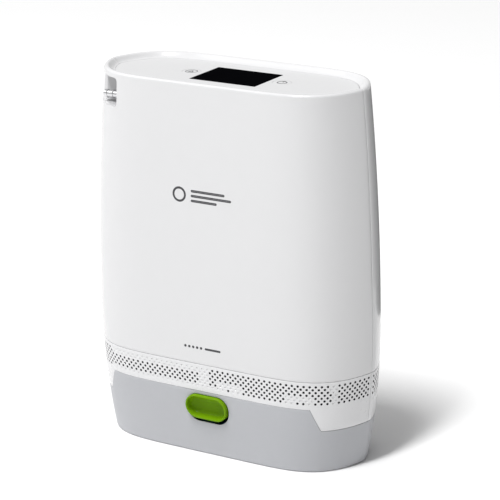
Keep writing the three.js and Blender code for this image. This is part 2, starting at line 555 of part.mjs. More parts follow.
// A twin with opposed cylinders along X, driven by a motor whose shaft runs along Y.
function makeCompressor() {
  const { x, z, half, front, rear, wall, bore } = COMPRESSOR;
  const cavity = half - wall;
  const sides = [
    { name: "left", way: -1, y: PISTON.mid - PISTON.side },
    { name: "right", way: 1, y: PISTON.mid + PISTON.side },
  ];
  const block = box([x - half, x + half], [front, rear], [z - half, z + half]);
  const hollow = rod(cavity, rear - wall - front + BEYOND, "y", [x, rear - wall, z], 24);
  const shaftHole = rod(MOTOR.shaft + GAP, 2 * wall, "y", [x, rear + BEYOND, z], 20);
  const bores = sides.map(({ way, y }) => {
    const start = way > 0 ? x : x - half - BEYOND;
    return rod(bore, half + BEYOND, "x", [start, y, z]);
  });
  add("compressor_crankcase", "alloy", block.subtract(sum([hollow, shaftHole, ...bores])));

  const canStart = rear + GAP + MOTOR.length;
  const can = [
    [0, 0],
    [MOTOR.r, 0],
    [MOTOR.r, MOTOR.length],
    [MOTOR.r - MOTOR.wall, MOTOR.length],
    [MOTOR.r - MOTOR.wall, MOTOR.wall],
    [0, MOTOR.wall],
  ];
  add("motor_can", "steel", turned(can, "y", [x, canStart, z], 24));
  const drum = MOTOR.r - MOTOR.wall - MOTOR.gap;
  const drumLength = MOTOR.length - MOTOR.wall - 2 * MOTOR.gap;
  const shaftStart = canStart - MOTOR.wall - GAP;
  const eccentricStart = PISTON.mid + ECCENTRIC.thick / 2;
  const shaftEnd = eccentricStart - ECCENTRIC.thick - ECCENTRIC.stub;
  const rotor = [
    rod(MOTOR.shaft, shaftStart - shaftEnd, "y", [x, shaftStart, z], 20),
    rod(drum, drumLength, "y", [x, canStart - MOTOR.wall - MOTOR.gap, z], 22),
    rod(ECCENTRIC.r, ECCENTRIC.thick, "y", [x, eccentricStart, z + PISTON.stroke / 2], 20),
  ];
  add("compressor_rotor", "steel", sum(rotor));

  for (const { name, way, y } of sides) {
    const rows = Array.from({ length: HEAD.fins }, (_, i) => HEAD.length - (2 * i + 1) * HEAD.fin);
    const fins = rows.flatMap((h) => [
      [HEAD.r, h + HEAD.fin],
      [HEAD.r, h],
      [HEAD.r - HEAD.groove, h],
      [HEAD.r - HEAD.groove, h - HEAD.fin],
    ]);
    const outline = [[0, HEAD.length], ...fins, [HEAD.r, HEAD.length - 2 * HEAD.fins * HEAD.fin]];
    const cup = [[HEAD.r, 0], [bore, 0], [bore, HEAD.cup], [0, HEAD.cup]];
    const profile = [...outline, ...cup].map(([r, h]) => [r, way * (half + GAP + h)]);
    add(`compressor_head_${name}`, "alloy", turned(profile, "x", [x, y, z], 22));
    const ringBore = ECCENTRIC.r + PISTON.stroke + PISTON.play;
    const ringOuter = ringBore + PISTON.ring;
    const ring = pipe(ringOuter, ringBore, PISTON.thick, "y", [x, y + PISTON.thick / 2, z], 22);
    const reach = half + PISTON.plate / 2;
    const plateStart = way > 0 ? x + reach - PISTON.plate / 2 : x - reach - PISTON.plate / 2;
    const plate = rod(bore - PISTON.run, PISTON.plate, "x", [plateStart, y, z]);
    const ends = [x + way * (ringOuter - 1), x + way * reach].sort((a, b) => a - b);
    const arm = box(ends, about(y, PISTON.thick), about(z, PISTON.arm));
    add(`piston_${name}`, "alloy", sum([ring, plate, arm]));
  }

  const foot = FLOOR_Z + FLOOR_THICK + GAP;
  const tall = z - half - GAP - foot;
  const waist = [[0, 0], [MOUNT.r, 0], [MOUNT.r, MOUNT.cuff * tall], [MOUNT.r - MOUNT.waist, tall / 2]];
  const bush = [...waist, [MOUNT.r, (1 - MOUNT.cuff) * tall], [MOUNT.r, tall], [0, tall]];
  const middleY = (front + rear) / 2;
  const corners = [
    ["left_front", -1, -1],
    ["left_rear", -1, 1],
    ["right_front", 1, -1],
    ["right_rear", 1, 1],
  ];
  for (const [corner, i, j] of corners) {
    const spot = [x + i * MOUNT.x, middleY + j * MOUNT.y, foot];
    add(`compressor_mount_${corner}`, "rubber", turned(bush, "z", spot, 12));
  }
  const manifoldFoot = MANIFOLD.low - GAP;
  const headTop = z + HEAD.r + GAP;
  const tubeX = x + half + HEAD.length / 2;
  const route = [
    [tubeX, sides[1].y, headTop],
    [tubeX, sides[1].y, headTop + 6],
    [tubeX + 5, sides[1].y + 4, manifoldFoot - 5],
    [tubeX + 5, sides[1].y + 4, manifoldFoot],
  ];
  add("compressor_hose", "milky", tube(HOSE, route, 10));
}

function makeFan() {
  const foot = FLOOR_Z + FLOOR_THICK + GAP;
  const square = box(about(FAN.x, FAN.side), about(0, FAN.side), [foot, foot + FAN.thick]);
  const bore = rod(FAN.bore, FAN.thick + 2 * BEYOND, "z", [FAN.x, 0, foot - BEYOND], 32);
  const across = FAN.side - 2 * FAN.plate;
  const arms = box(about(FAN.x, across), about(0, FAN.arm), [foot, foot + FAN.plate]).add(
    box(about(FAN.x, FAN.arm), about(0, across), [foot, foot + FAN.plate]),
  );
  const seat = rod(FAN.hub, FAN.plate, "z", [FAN.x, 0, foot], 20);
  add("fan_frame", "black", square.subtract(bore).add(arms).add(seat));
  const low = foot + FAN.plate + FAN.run;
  const tall = FAN.thick - FAN.plate - 2 * FAN.run;
  const tip = FAN.bore - FAN.run;
  const blades = Array.from({ length: BLADE.count }, (_, i) =>
    box([FAN.hub - BLADE.root, tip - BLADE.tip], about(0, BLADE.thick), about(0, BLADE.chord * tall))
      .rotate([BLADE.tilt, 0, 0])
      .rotate([0, 0, (i * 360) / BLADE.count])
      .translate([FAN.x, 0, low + tall / 2]),
  );
  const hub = rod(FAN.hub, tall, "z", [FAN.x, 0, low], 20);
  add("fan_rotor", "black", sum([hub, ...blades]));
}

function makeSieve() {
  const { low, thick, left, right, front, rear } = MANIFOLD;
  const seat = low + thick + GAP;
  const roof = seat + BED.length + GAP;
  add("lower_manifold", "alloy", box([left, right], [front, rear], [low, low + thick]));
  add("upper_manifold", "alloy", box([left, right], [UPPER.front, rear], [roof, roof + UPPER.thick]));
  const vessel = (r) => [
    [0, 0],
    [r, 0],
    [r, BED.shoulder],
    [r - BED.flange, BED.shoulder + BED.flange],
    [r - BED.flange, BED.length - BED.shoulder - BED.flange],
    [r, BED.length - BED.shoulder],
    [r, BED.length],
    [0, BED.length],
  ];
  add("sieve_bed_left", "alloy", turned(vessel(BED.r), "z", [BED.left, BED.y, seat], 24));
  add("sieve_bed_right", "alloy", turned(vessel(BED.r), "z", [BED.right, BED.y, seat], 24));
  add("product_tank", "alloy", turned(vessel(TANK.r), "z", [TANK.x, BED.y, seat], 22));
  VALVE.x.forEach((x, i) => {
    const { r, height, coil, cone, core } = VALVE;
    const body = [[0, 0], [r, 0], [r, coil * height]];
    const profile = [...body, [core * r, cone * height], [core * r, height], [0, height]];
    add(`solenoid_valve_${i + 1}`, "black", turned(profile, "z", [x, VALVE.y, seat], 18));
  });
  const tail = POCKET.x + POCKET.liner + NOZZLE.tail + 2 * GAP;
  const top = roof + UPPER.thick + 2 * GAP;
  const route = [
    [tail, NOZZLE.y, NOZZLE.z],
    [tail + 6, NOZZLE.y, NOZZLE.z],
    [tail + 14, NOZZLE.y + 3, (NOZZLE.z + top) / 2 + 2],
    [tail + 17, UPPER.front + 6, top + 5],
    [tail + 17, UPPER.front + 6, top + 2],
    [tail + 17, UPPER.front + 6, top],
  ];
  add("product_hose", "milky", tube(HOSE - 0.5, route, 14));
}

function makeElectronics() {
  const plate = box(CONTROL.x, [CONTROL.y, CONTROL.y + BOARD], CONTROL.z);
  const [foot, top] = CONTROL.z;
  const up = (share) => foot + share * (top - foot);
  const rooted = CONTROL.y + SET_IN;
  const capacitors = CAPACITORS.map(({ x, share, r, tall }) => rod(r, tall, "y", [x, rooted, up(share)]));
  const chips = CHIPS.map(({ x, share, tall }) => box(x, [CONTROL.y - tall, rooted], share.map(up)));
  add("control_board", "board", sum([plate, ...capacitors, ...chips]));
  const back = [CONTROL.y - GAP - SINK.plate, CONTROL.y - GAP];
  const sinkZ = SINK.share.map(up);
  const base = box(SINK.x, back, sinkZ);
  const pitch = (SINK.x[1] - SINK.x[0] - SINK.fin) / (SINK.fins - 1);
  const fins = Array.from({ length: SINK.fins }, (_, i) => {
    const start = SINK.x[0] + i * pitch;
    return box([start, start + SINK.fin], [back[0] - SINK.depth, back[0] + SET_IN], sinkZ);
  });
  add("heat_sink", "alloy", sum([base, ...fins]));
  const filterTop = INTAKE.z + INTAKE.filter;
  add("intake_filter", "foam", box(INTAKE.x, INTAKE.y, [INTAKE.z, filterTop]));
  const shell = [filterTop + GAP, filterTop + GAP + INTAKE.box];
  const inner = (span) => [span[0] + INTAKE.wall, span[1] - INTAKE.wall];
  const outerBox = box(INTAKE.x, INTAKE.y, shell);
  const innerBox = box(inner(INTAKE.x), inner(INTAKE.y), [shell[0] - BEYOND, shell[1] - INTAKE.wall]);
  add("intake_muffler", "milky", outerBox.subtract(innerBox));
  const boardUnder = HEIGHT - RIM_FOOT - GAP - PANEL_FLANGE - DISPLAY_BOARD.drop - BOARD;
  const buzzerFoot = boardUnder - GAP - BUZZER.height;
  add("buzzer", "black", pipe(BUZZER.r, 1, BUZZER.height, "z", [BUZZER.x, WINDOW.midY, buzzerFoot], 16));
}

// ---------- The battery pack, which slides off downwards ----------

const plugInset = WALL + 2 * GAP; // the part of the pack that stands inside the skirt
const bayInset = plugInset + CASE_UPPER_WALL;
const latchFront = () => -(halfDepth(SKIRT_Z) - bayInset) + LATCH_RUN;

function makeBattery() {
  const deck = SKIRT_Z - SHUT_LINE;
  const low = form(0, deck);
  const plug = prism(deck - BEYOND, LID_TOP, plugInset, SKIRT_Z);
  const tab = form(deck - BEYOND, TAB_TOP).intersect(tabRegion(0));
  const bay = form(BATTERY_WALL, deck - BATTERY_WALL, BATTERY_WALL, false).add(
    prism(deck - BATTERY_WALL - BEYOND, LID_TOP + 2 * BEYOND, bayInset, SKIRT_Z),
  );
  const mouth = stadium(BUTTON.half + GAP, BUTTON.r + GAP, BUTTON.x, BUTTON.z);
  const opening = upright(mouth, [-2 * HALF_DEPTH, latchFront() + BEYOND]);
  add("battery_case", "grey", sum([low, plug, tab]).subtract(bay).subtract(opening));

  const lid = prism(LID_TOP - LID_THICK, LID_TOP, bayInset + GAP, SKIRT_Z);
  const slots = [-LATCH.x, LATCH.x].map((x) =>
    box(
      about(x, LATCH.finger + 3 * GAP),
      [-HALF_DEPTH, latchFront() + LATCH.thick + BUTTON.travel + GAP],
      [LID_TOP - 2 * LID_THICK, LID_TOP + BEYOND],
    ),
  );
  const plugHole = box(
    about(CONNECTOR.x, CONNECTOR.w - PLUG.less + 2 * GAP),
    about(CONNECTOR.y, CONNECTOR.d - PLUG.less + 2 * GAP),
    [LID_TOP - 2 * LID_THICK, LID_TOP + BEYOND],
  );
  add("battery_lid", "grey", lid.subtract(sum([plugHole, ...slots])));

  const block = box(
    about(CONNECTOR.x, CONNECTOR.w - PLUG.less),
    about(CONNECTOR.y, CONNECTOR.d - PLUG.less),
    [LID_TOP - 2 * LID_THICK, LID_TOP + PLUG.rise],
  );
  const bladeZ = [LID_TOP, FLOOR_Z + PLUG.blade];
  const blades = bladePlaces().map((x) =>
    box(about(x, CONNECTOR.blade[0]), about(CONNECTOR.y, CONNECTOR.blade[1]), bladeZ),
  );
  add("battery_plug", "black", sum([block, ...blades]));

  const cellZ = BATTERY_WALL + GAP + CELL.r;
  for (let i = 0; i < CELL.rows; i += 1) {
    const y = (i - (CELL.rows - 1) / 2) * CELL.pitch;
    const half = [
      [CELL.r, CELL.length],
      [CELL.r, CELL.step],
      [CELL.r - CELL.cap, CELL.step],
    ];
    const other = half.toReversed().map(([r, h]) => [r, -h]);
    const profile = [[0, CELL.length], ...half, ...other, [0, -CELL.length]];
    add(`cell_pair_${i + 1}`, "cell", turned(profile, "x", [0, y, cellZ], 18));
  }
  const boardLow = cellZ + CELL.r + BATTERY_BOARD.above;
  const boardZ = [boardLow, boardLow + BOARD];
  add("battery_board", "board", box(BATTERY_BOARD.x, BATTERY_BOARD.y, boardZ));
}

function makeLatch() {
  const front = -halfDepth(BUTTON.z) - BUTTON.proud;
  const back = latchFront() - GAP;
  const body = upright(stadium(BUTTON.half, BUTTON.r, BUTTON.x, BUTTON.z), [front, back], 8);
  const inner = stadium(BUTTON.half - BUTTON.rim, BUTTON.r - BUTTON.rim, BUTTON.x, BUTTON.z);
  const dish = upright(inner, [front - BEYOND, front + BUTTON.dish], 8);
  add("release_button", "green", body.subtract(dish));
  const y = [latchFront(), latchFront() + LATCH.thick];
  const reach = LATCH.x + LATCH.finger / 2;
  const bar = box([-reach, reach], y, [LATCH.low, LATCH.high]);
  const fingers = [-LATCH.x, LATCH.x].flatMap((x) => [
    box(about(x, LATCH.finger), y, [LATCH.low, LATCH.top]),
    box(about(x, LATCH.finger), [y[0] - LATCH.nose, y[1]], [LATCH.noseLow, LATCH.top]),
  ]);
  add("latch_slider", "black", sum([bar, ...fingers]));
}

makeShells();
makeBand();
makePanel();
makeOutlet();
makeInlet();
makeChassis();
makeCompressor();
makeFan();
makeSieve();
makeElectronics();
makeBattery();
makeLatch();

export default part;
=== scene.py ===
"""Looks of a slim portable oxygen concentrator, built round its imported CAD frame.

The body's smooth casings, perforated band, battery pack and fittings are rebuilt here as fine meshes
that take their places from the frame's nodes. Everything else keeps its CAD node and gets a finish.
"""

import json
import logging
import math
from dataclasses import dataclass, field
from enum import Enum

import bmesh
import bpy
import numpy as np
from mathutils import Matrix, Vector


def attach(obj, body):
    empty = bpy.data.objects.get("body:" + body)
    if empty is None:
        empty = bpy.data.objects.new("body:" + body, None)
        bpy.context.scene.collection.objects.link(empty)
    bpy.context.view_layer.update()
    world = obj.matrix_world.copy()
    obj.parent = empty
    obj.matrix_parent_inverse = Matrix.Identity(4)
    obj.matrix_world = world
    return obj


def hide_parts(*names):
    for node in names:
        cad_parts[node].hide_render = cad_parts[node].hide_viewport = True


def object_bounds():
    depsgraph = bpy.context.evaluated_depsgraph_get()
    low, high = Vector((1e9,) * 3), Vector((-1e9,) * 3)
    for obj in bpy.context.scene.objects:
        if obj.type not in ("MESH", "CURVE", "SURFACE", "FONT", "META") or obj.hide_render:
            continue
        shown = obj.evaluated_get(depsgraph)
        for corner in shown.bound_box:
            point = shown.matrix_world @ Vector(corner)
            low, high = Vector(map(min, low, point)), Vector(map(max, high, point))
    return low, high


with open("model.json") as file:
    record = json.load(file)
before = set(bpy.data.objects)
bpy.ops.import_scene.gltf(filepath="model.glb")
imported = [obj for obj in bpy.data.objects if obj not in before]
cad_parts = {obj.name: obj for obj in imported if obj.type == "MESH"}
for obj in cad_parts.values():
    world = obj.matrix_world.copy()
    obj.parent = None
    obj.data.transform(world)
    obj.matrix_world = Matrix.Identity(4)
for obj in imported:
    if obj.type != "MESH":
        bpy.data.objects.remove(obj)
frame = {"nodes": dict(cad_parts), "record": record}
CAD_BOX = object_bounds()
MM = 0.001
SHARP = 32.0  # degrees above which an edge stays sharp
STEP = 2.5  # usual spacing of points along a straight side, in millimetres

log = logging.getLogger("concentrator")

Point = tuple[float, float, float]
Colour = tuple[float, float, float]


class Half(Enum):
    """Which half of the body a casing covers, by the sign of its Y."""

    FRONT = -1
    REAR = 1


class Cell(Enum):
    """What one cell of the perforated band holds; the value is its index among the cell meshes."""

    PLAIN = 0
    OPEN = 1
    BLIND = 2


# ---------------------------------------------------------------- mesh helpers


def link(name: str, mesh: bpy.types.Mesh) -> bpy.types.Object:
    """Puts a mesh into the scene as a new object at the origin.

    Args:
        name: The object's name.
        mesh: Its mesh.

    Returns:
        The new object.
    """
    mesh.name = name
    piece = bpy.data.objects.new(name, mesh)
    bpy.context.scene.collection.objects.link(piece)
    return piece


def object_of(
    name: str, bm: bmesh.types.BMesh, sharp: float = SHARP, recalc: bool = True
) -> bpy.types.Object:
    """Turns an edited mesh into a smooth-shaded object with sharp edges above an angle.

    Args:
        name: The object's name.
        bm: The mesh, which is freed.
        sharp: Angle in degrees above which an edge is sharp.
        recalc: Whether the faces are turned to point outwards.

    Returns:
        The new object.
    """
    if recalc:
        bmesh.ops.recalc_face_normals(bm, faces=bm.faces)
    mesh = bpy.data.meshes.new(name)
    bm.to_mesh(mesh)
    bm.free()
    mesh.shade_smooth()
    mesh.set_sharp_from_angle(angle=math.radians(sharp))
    return link(name, mesh)


def finished(piece: bpy.types.Object) -> bpy.types.Object:
    """Applies a piece's modifiers and keeps only the plain mesh they make.

    Args:
        piece: The object whose modifiers are applied.

    Returns:
        The same object, with the evaluated mesh and no modifiers.
    """
    graph = bpy.context.evaluated_depsgraph_get()
    mesh = bpy.data.meshes.new_from_object(piece.evaluated_get(graph))
    piece.modifiers.clear()
    old, piece.data = piece.data, mesh
    mesh.name = piece.name
    bpy.data.meshes.remove(old)
    return piece


def lathe(bm: bmesh.types.BMesh, profile: list[tuple[float, float]], place: Matrix, sides: int = 48) -> None:
    """Adds a turned solid to a mesh.

    Args:
        bm: The mesh to add to.
        profile: (radius, height) pairs in millimetres; radius 0 closes an end.
        place: Where the axis, local +Z, stands; its translation is in millimetres.
        sides: Facets round the axis.
    """
    rings: list[list[bmesh.types.BMVert]] = []
    for radius, height in profile:
        count = sides if radius > 0 else 1
        ring = []
        for i in range(count):
            turn = 2 * math.pi * i / sides
            spot = place @ Vector((radius * math.cos(turn), radius * math.sin(turn), height))
            ring.append(bm.verts.new(spot * MM))
        rings.append(ring)
    for low, high in zip(rings, rings[1:]):
        bridge(bm, low, high)


def bridge(bm: bmesh.types.BMesh, low: list, high: list) -> None:
    """Joins two closed rings of vertices, of which one may be a single point.

    Args:
        bm: The mesh that holds them.
        low: The first ring.
        high: The second ring.
    """
    count = max(len(low), len(high))
    if count == 1:
        return
    for i in range(count):
        j = (i + 1) % count
        corners = [low[i % len(low)], low[j % len(low)], high[j % len(high)], high[i % len(high)]]
        unique = list(dict.fromkeys(corners))
        if len(unique) > 2:
            bm.faces.new(unique)


def facing(axis: Vector, spot: Vector) -> Matrix:
    """A place whose local +Z looks along an axis.

    Args:
        axis: The direction.
        spot: The origin, in millimetres.

    Returns:
        The matrix.
    """
    turn = Vector((0, 0, 1)).rotation_difference(axis.normalized()).to_matrix().to_4x4()
    return Matrix.Translation(spot) @ turn


def quarter(count: int) -> list[float]:
    """Angles from 0 to a quarter turn, in equal steps."""
    return [math.pi / 2 * i / count for i in range(count + 1)]


def stadium(half: float, radius: float, sides: int) -> list[tuple[float, float]]:
    """Points round a flat-sided oval about the origin, anticlockwise.

    Args:
        half: Half its length.
        radius: Radius of its ends.
        sides: Facets on each round end.

    Returns:
        The points, with straight sides divided to match.
    """
    flat = half - radius
    ends = []
    for side in (1, -1):
        for i in range(sides + 1):
            turn = math.pi * i / sides - math.pi / 2
            ends.append((side * (flat + radius * math.cos(turn)), side * radius * math.sin(turn)))
        run = max(1, round(2 * flat / STEP))
        for i in range(1, run):
            ends.append((side * (flat - 2 * flat * i / run), side * radius))
    return ends


# ---------------------------------------------------------------- shader groups and finishes


def shader_group(name: str, inputs: dict[str, tuple], outputs: dict[str, str]) -> bpy.types.NodeTree:
    """Makes an empty shader node group with named sockets.

    Args:
        name: The group's name.
        inputs: Socket name to (socket type, default value).
        outputs: Socket name to socket type.

    Returns:
        The group, with its input and output nodes.
    """
    tree = bpy.data.node_groups.new(name, "ShaderNodeTree")
    for label, (kind, value) in inputs.items():
        socket = tree.interface.new_socket(name=label, in_out="INPUT", socket_type=kind)
        socket.default_value = value
    for label, kind in outputs.items():
        tree.interface.new_socket(name=label, in_out="OUTPUT", socket_type=kind)
    tree.nodes.new("NodeGroupInput").name = "in"
    tree.nodes.new("NodeGroupOutput").name = "out"
    return tree


class Wiring:
    """A short way to add nodes to a tree and to join them."""

    def __init__(self, tree: bpy.types.NodeTree) -> None:
        """Keeps the tree that nodes go into."""
        self.tree = tree

    def add(self, kind: str, values: dict | None = None, **settings: object) -> bpy.types.Node:
        """Adds a node.

        Args:
            kind: The node's type.
            values: Input name or index to a value, or to a socket to link from.
            **settings: Properties of the node.

        Returns:
            The node.
        """
        node = self.tree.nodes.new(kind)
        for key, value in settings.items():
            setattr(node, key, value)
        for key, value in (values or {}).items():
            if isinstance(value, bpy.types.NodeSocket):
                self.tree.links.new(value, node.inputs[key])
            else:
                node.inputs[key].default_value = value
        return node

    def math(self, operation: str, a: object, b: object = 0.0, c: object = 0.0) -> bpy.types.NodeSocket:
        """One Math node's result for its operation and values."""
        return self.add("ShaderNodeMath", {0: a, 1: b, 2: c}, operation=operation).outputs[0]


def make_mottle() -> bpy.types.NodeTree:
    """The group that varies a colour and a roughness softly over a surface.

    Returns:
        A group with inputs Coords, Colour, Tint, Size, Spread, Roughness and Haze, and outputs Colour and
        Roughness.
    """
    tree = shader_group(
        "surface_mottle",
        {
            "Coords": ("NodeSocketVector", (0, 0, 0)),
            "Colour": ("NodeSocketColor", (0.8, 0.8, 0.8, 1)),
            "Tint": ("NodeSocketColor", (0.7, 0.7, 0.7, 1)),
            "Size": ("NodeSocketFloat", 40.0),
            "Spread": ("NodeSocketFloat", 0.5),
            "Roughness": ("NodeSocketFloat", 0.3),
            "Haze": ("NodeSocketFloat", 0.05),
        },
        {"Colour": "NodeSocketColor", "Roughness": "NodeSocketFloat"},
    )
    wire, source = Wiring(tree), tree.nodes["in"].outputs
    finer, fine_share, low, high = 14.0, 0.35, 0.35, 0.65
    coords = source["Coords"]
    broad = wire.add("ShaderNodeTexNoise", {"Vector": coords, "Scale": source["Size"], "Detail": 5.0})
    fine_size = wire.math("MULTIPLY", source["Size"], finer)
    fine = wire.add("ShaderNodeTexNoise", {"Vector": coords, "Scale": fine_size, "Detail": 3.0})
    rest = wire.math("MULTIPLY", broad.outputs["Fac"], 1 - fine_share)
    both = wire.math("MULTIPLY_ADD", fine.outputs["Fac"], fine_share, rest)
    spread = wire.add("ShaderNodeMapRange", {"Value": both, "From Min": low, "From Max": high})
    share = wire.math("MULTIPLY", spread.outputs[0], source["Spread"])
    mixed = wire.add("ShaderNodeMix", {0: share, 6: source["Colour"], 7: source["Tint"]}, data_type="RGBA")
    haze = wire.math("MULTIPLY", wire.math("SUBTRACT", spread.outputs[0], 0.5), source["Haze"])
    rough = wire.math("ADD", haze, source["Roughness"])
    out = tree.nodes["out"].inputs
    tree.links.new(mixed.outputs[2], out["Colour"])
    tree.links.new(rough, out["Roughness"])
    return tree


def make_grain() -> bpy.types.NodeTree:
    """The group that gives the height of a moulded or cast surface's fine grain.

    Returns:
        A group with inputs Coords, Size, Cells and Depth, and output Height.
    """
    tree = shader_group(
        "moulded_grain",
        {
            "Coords": ("NodeSocketVector", (0, 0, 0)),
            "Size": ("NodeSocketFloat", 1200.0),
            "Cells": ("NodeSocketFloat", 0.5),
            "Depth": ("NodeSocketFloat", 1.0),
        },
        {"Height": "NodeSocketFloat"},
    )
    wire, source = Wiring(tree), tree.nodes["in"].outputs
    place = {"Vector": source["Coords"], "Scale": source["Size"]}
    noise = wire.add("ShaderNodeTexNoise", {**place, "Detail": 4.0})
    cells = wire.add("ShaderNodeTexVoronoi", place)
    values = {0: source["Cells"], 2: noise.outputs["Fac"], 3: cells.outputs["Distance"]}
    mixed = wire.add("ShaderNodeMix", values)
    height = wire.math("MULTIPLY", mixed.outputs[0], source["Depth"])
    tree.links.new(height, tree.nodes["out"].inputs["Height"])
    return tree


def make_brush() -> bpy.types.NodeTree:
    """The group that gives the height and roughness of turned or drawn metal's fine lines.

    Returns:
        A group with inputs Coords, Stretch, Roughness and Depth, and outputs Height and Roughness.
    """
    tree = shader_group(
        "tool_lines",
        {
            "Coords": ("NodeSocketVector", (0, 0, 0)),
            "Stretch": ("NodeSocketVector", (60, 60, 3000)),
            "Roughness": ("NodeSocketFloat", 0.3),
            "Depth": ("NodeSocketFloat", 1.0),
        },
        {"Height": "NodeSocketFloat", "Roughness": "NodeSocketFloat"},
    )
    wire, source = Wiring(tree), tree.nodes["in"].outputs
    span, drop = 0.25, 0.12
    values = {0: source["Coords"], 1: source["Stretch"]}
    stretched = wire.add("ShaderNodeVectorMath", values, operation="MULTIPLY")
    marks = wire.add("ShaderNodeTexNoise", {"Vector": stretched.outputs[0], "Scale": 1.0, "Detail": 6.0})
    out = tree.nodes["out"].inputs
    tree.links.new(wire.math("MULTIPLY", marks.outputs["Fac"], source["Depth"]), out["Height"])
    least = wire.math("SUBTRACT", source["Roughness"], drop)
    tree.links.new(wire.math("MULTIPLY_ADD", marks.outputs["Fac"], span, least), out["Roughness"])
    return tree


class Groups:
    """The shader node groups that the finishes share."""

    def __init__(self) -> None:
        """Builds each group once."""
        self.mottle = make_mottle()
        self.grain = make_grain()
        self.brush = make_brush()


@dataclass(frozen=True)
class Finish:
    """One surface finish: a base colour that drifts to a tint, with its gloss and fine relief.

    bump is the relief's full height in millimetres, and relief is the share of it that shows.
    """

    name: str
    colour: Colour
    tint: Colour
    rough: float
    haze: float = 0.04
    size: float = 30.0
    spread: float = 0.4
    metallic: float = 0.0
    coat: float = 0.0
    coat_rough: float = 0.05
    ior: float = 1.46
    specular: float = 0.5
    grain: float = 1400.0
    cells: float = 0.5
    relief: float = 0.02
    lines: Point | None = None
    soft: float = 0.0
    bump: float = 0.2

    def build(self, groups: Groups) -> bpy.types.Material:
        """Makes the material.

        Args:
            groups: The shared node groups.

        Returns:
            The material.
        """
        material = bpy.data.materials.new(self.name)
        material.use_nodes = True
        tree = material.node_tree
        wire, shader = Wiring(tree), tree.nodes["Principled BSDF"]
        coords = wire.add("ShaderNodeTexCoord").outputs["Object"]
        values = {"Coords": coords, "Colour": (*self.colour, 1), "Tint": (*self.tint, 1), "Size": self.size}
        values |= {"Spread": self.spread, "Roughness": self.rough, "Haze": self.haze}
        mottle = wire.add("ShaderNodeGroup", node_tree=groups.mottle)
        self.fill(tree, mottle, values)
        if self.lines is None:
            relief = wire.add("ShaderNodeGroup", node_tree=groups.grain)
            self.fill(tree, relief, {"Coords": coords, "Size": self.grain, "Cells": self.cells})
            tree.links.new(mottle.outputs["Roughness"], shader.inputs["Roughness"])
        else:
            relief = wire.add("ShaderNodeGroup", node_tree=groups.brush)
            self.fill(tree, relief, {"Coords": coords, "Stretch": self.lines, "Roughness": self.rough})
            tree.links.new(relief.outputs["Roughness"], shader.inputs["Roughness"])
        bump = wire.add("ShaderNodeBump", {"Height": relief.outputs["Height"], "Strength": self.relief})
        bump.inputs["Distance"].default_value = self.bump * MM
        tree.links.new(bump.outputs["Normal"], shader.inputs["Normal"])
        tree.links.new(mottle.outputs["Colour"], shader.inputs["Base Color"])
        shader.inputs["Metallic"].default_value = self.metallic
        shader.inputs["Coat Weight"].default_value = self.coat
        shader.inputs["Coat Roughness"].default_value = self.coat_rough
        shader.inputs["IOR"].default_value = self.ior
        shader.inputs["Specular IOR Level"].default_value = self.specular
        shader.inputs["Subsurface Weight"].default_value = self.soft
        shader.inputs["Subsurface Scale"].default_value = MM
        return material

    @staticmethod
    def fill(tree: bpy.types.NodeTree, node: bpy.types.Node, values: dict) -> None:
        """Sets or links a group node's inputs by name.

        Args:
            tree: The tree that holds the node.
            node: The group node.
            values: Input name to a value or a socket.
        """
        for key, value in values.items():
            if isinstance(value, bpy.types.NodeSocket):
                tree.links.new(value, node.inputs[key])
            else:
                node.inputs[key].default_value = value


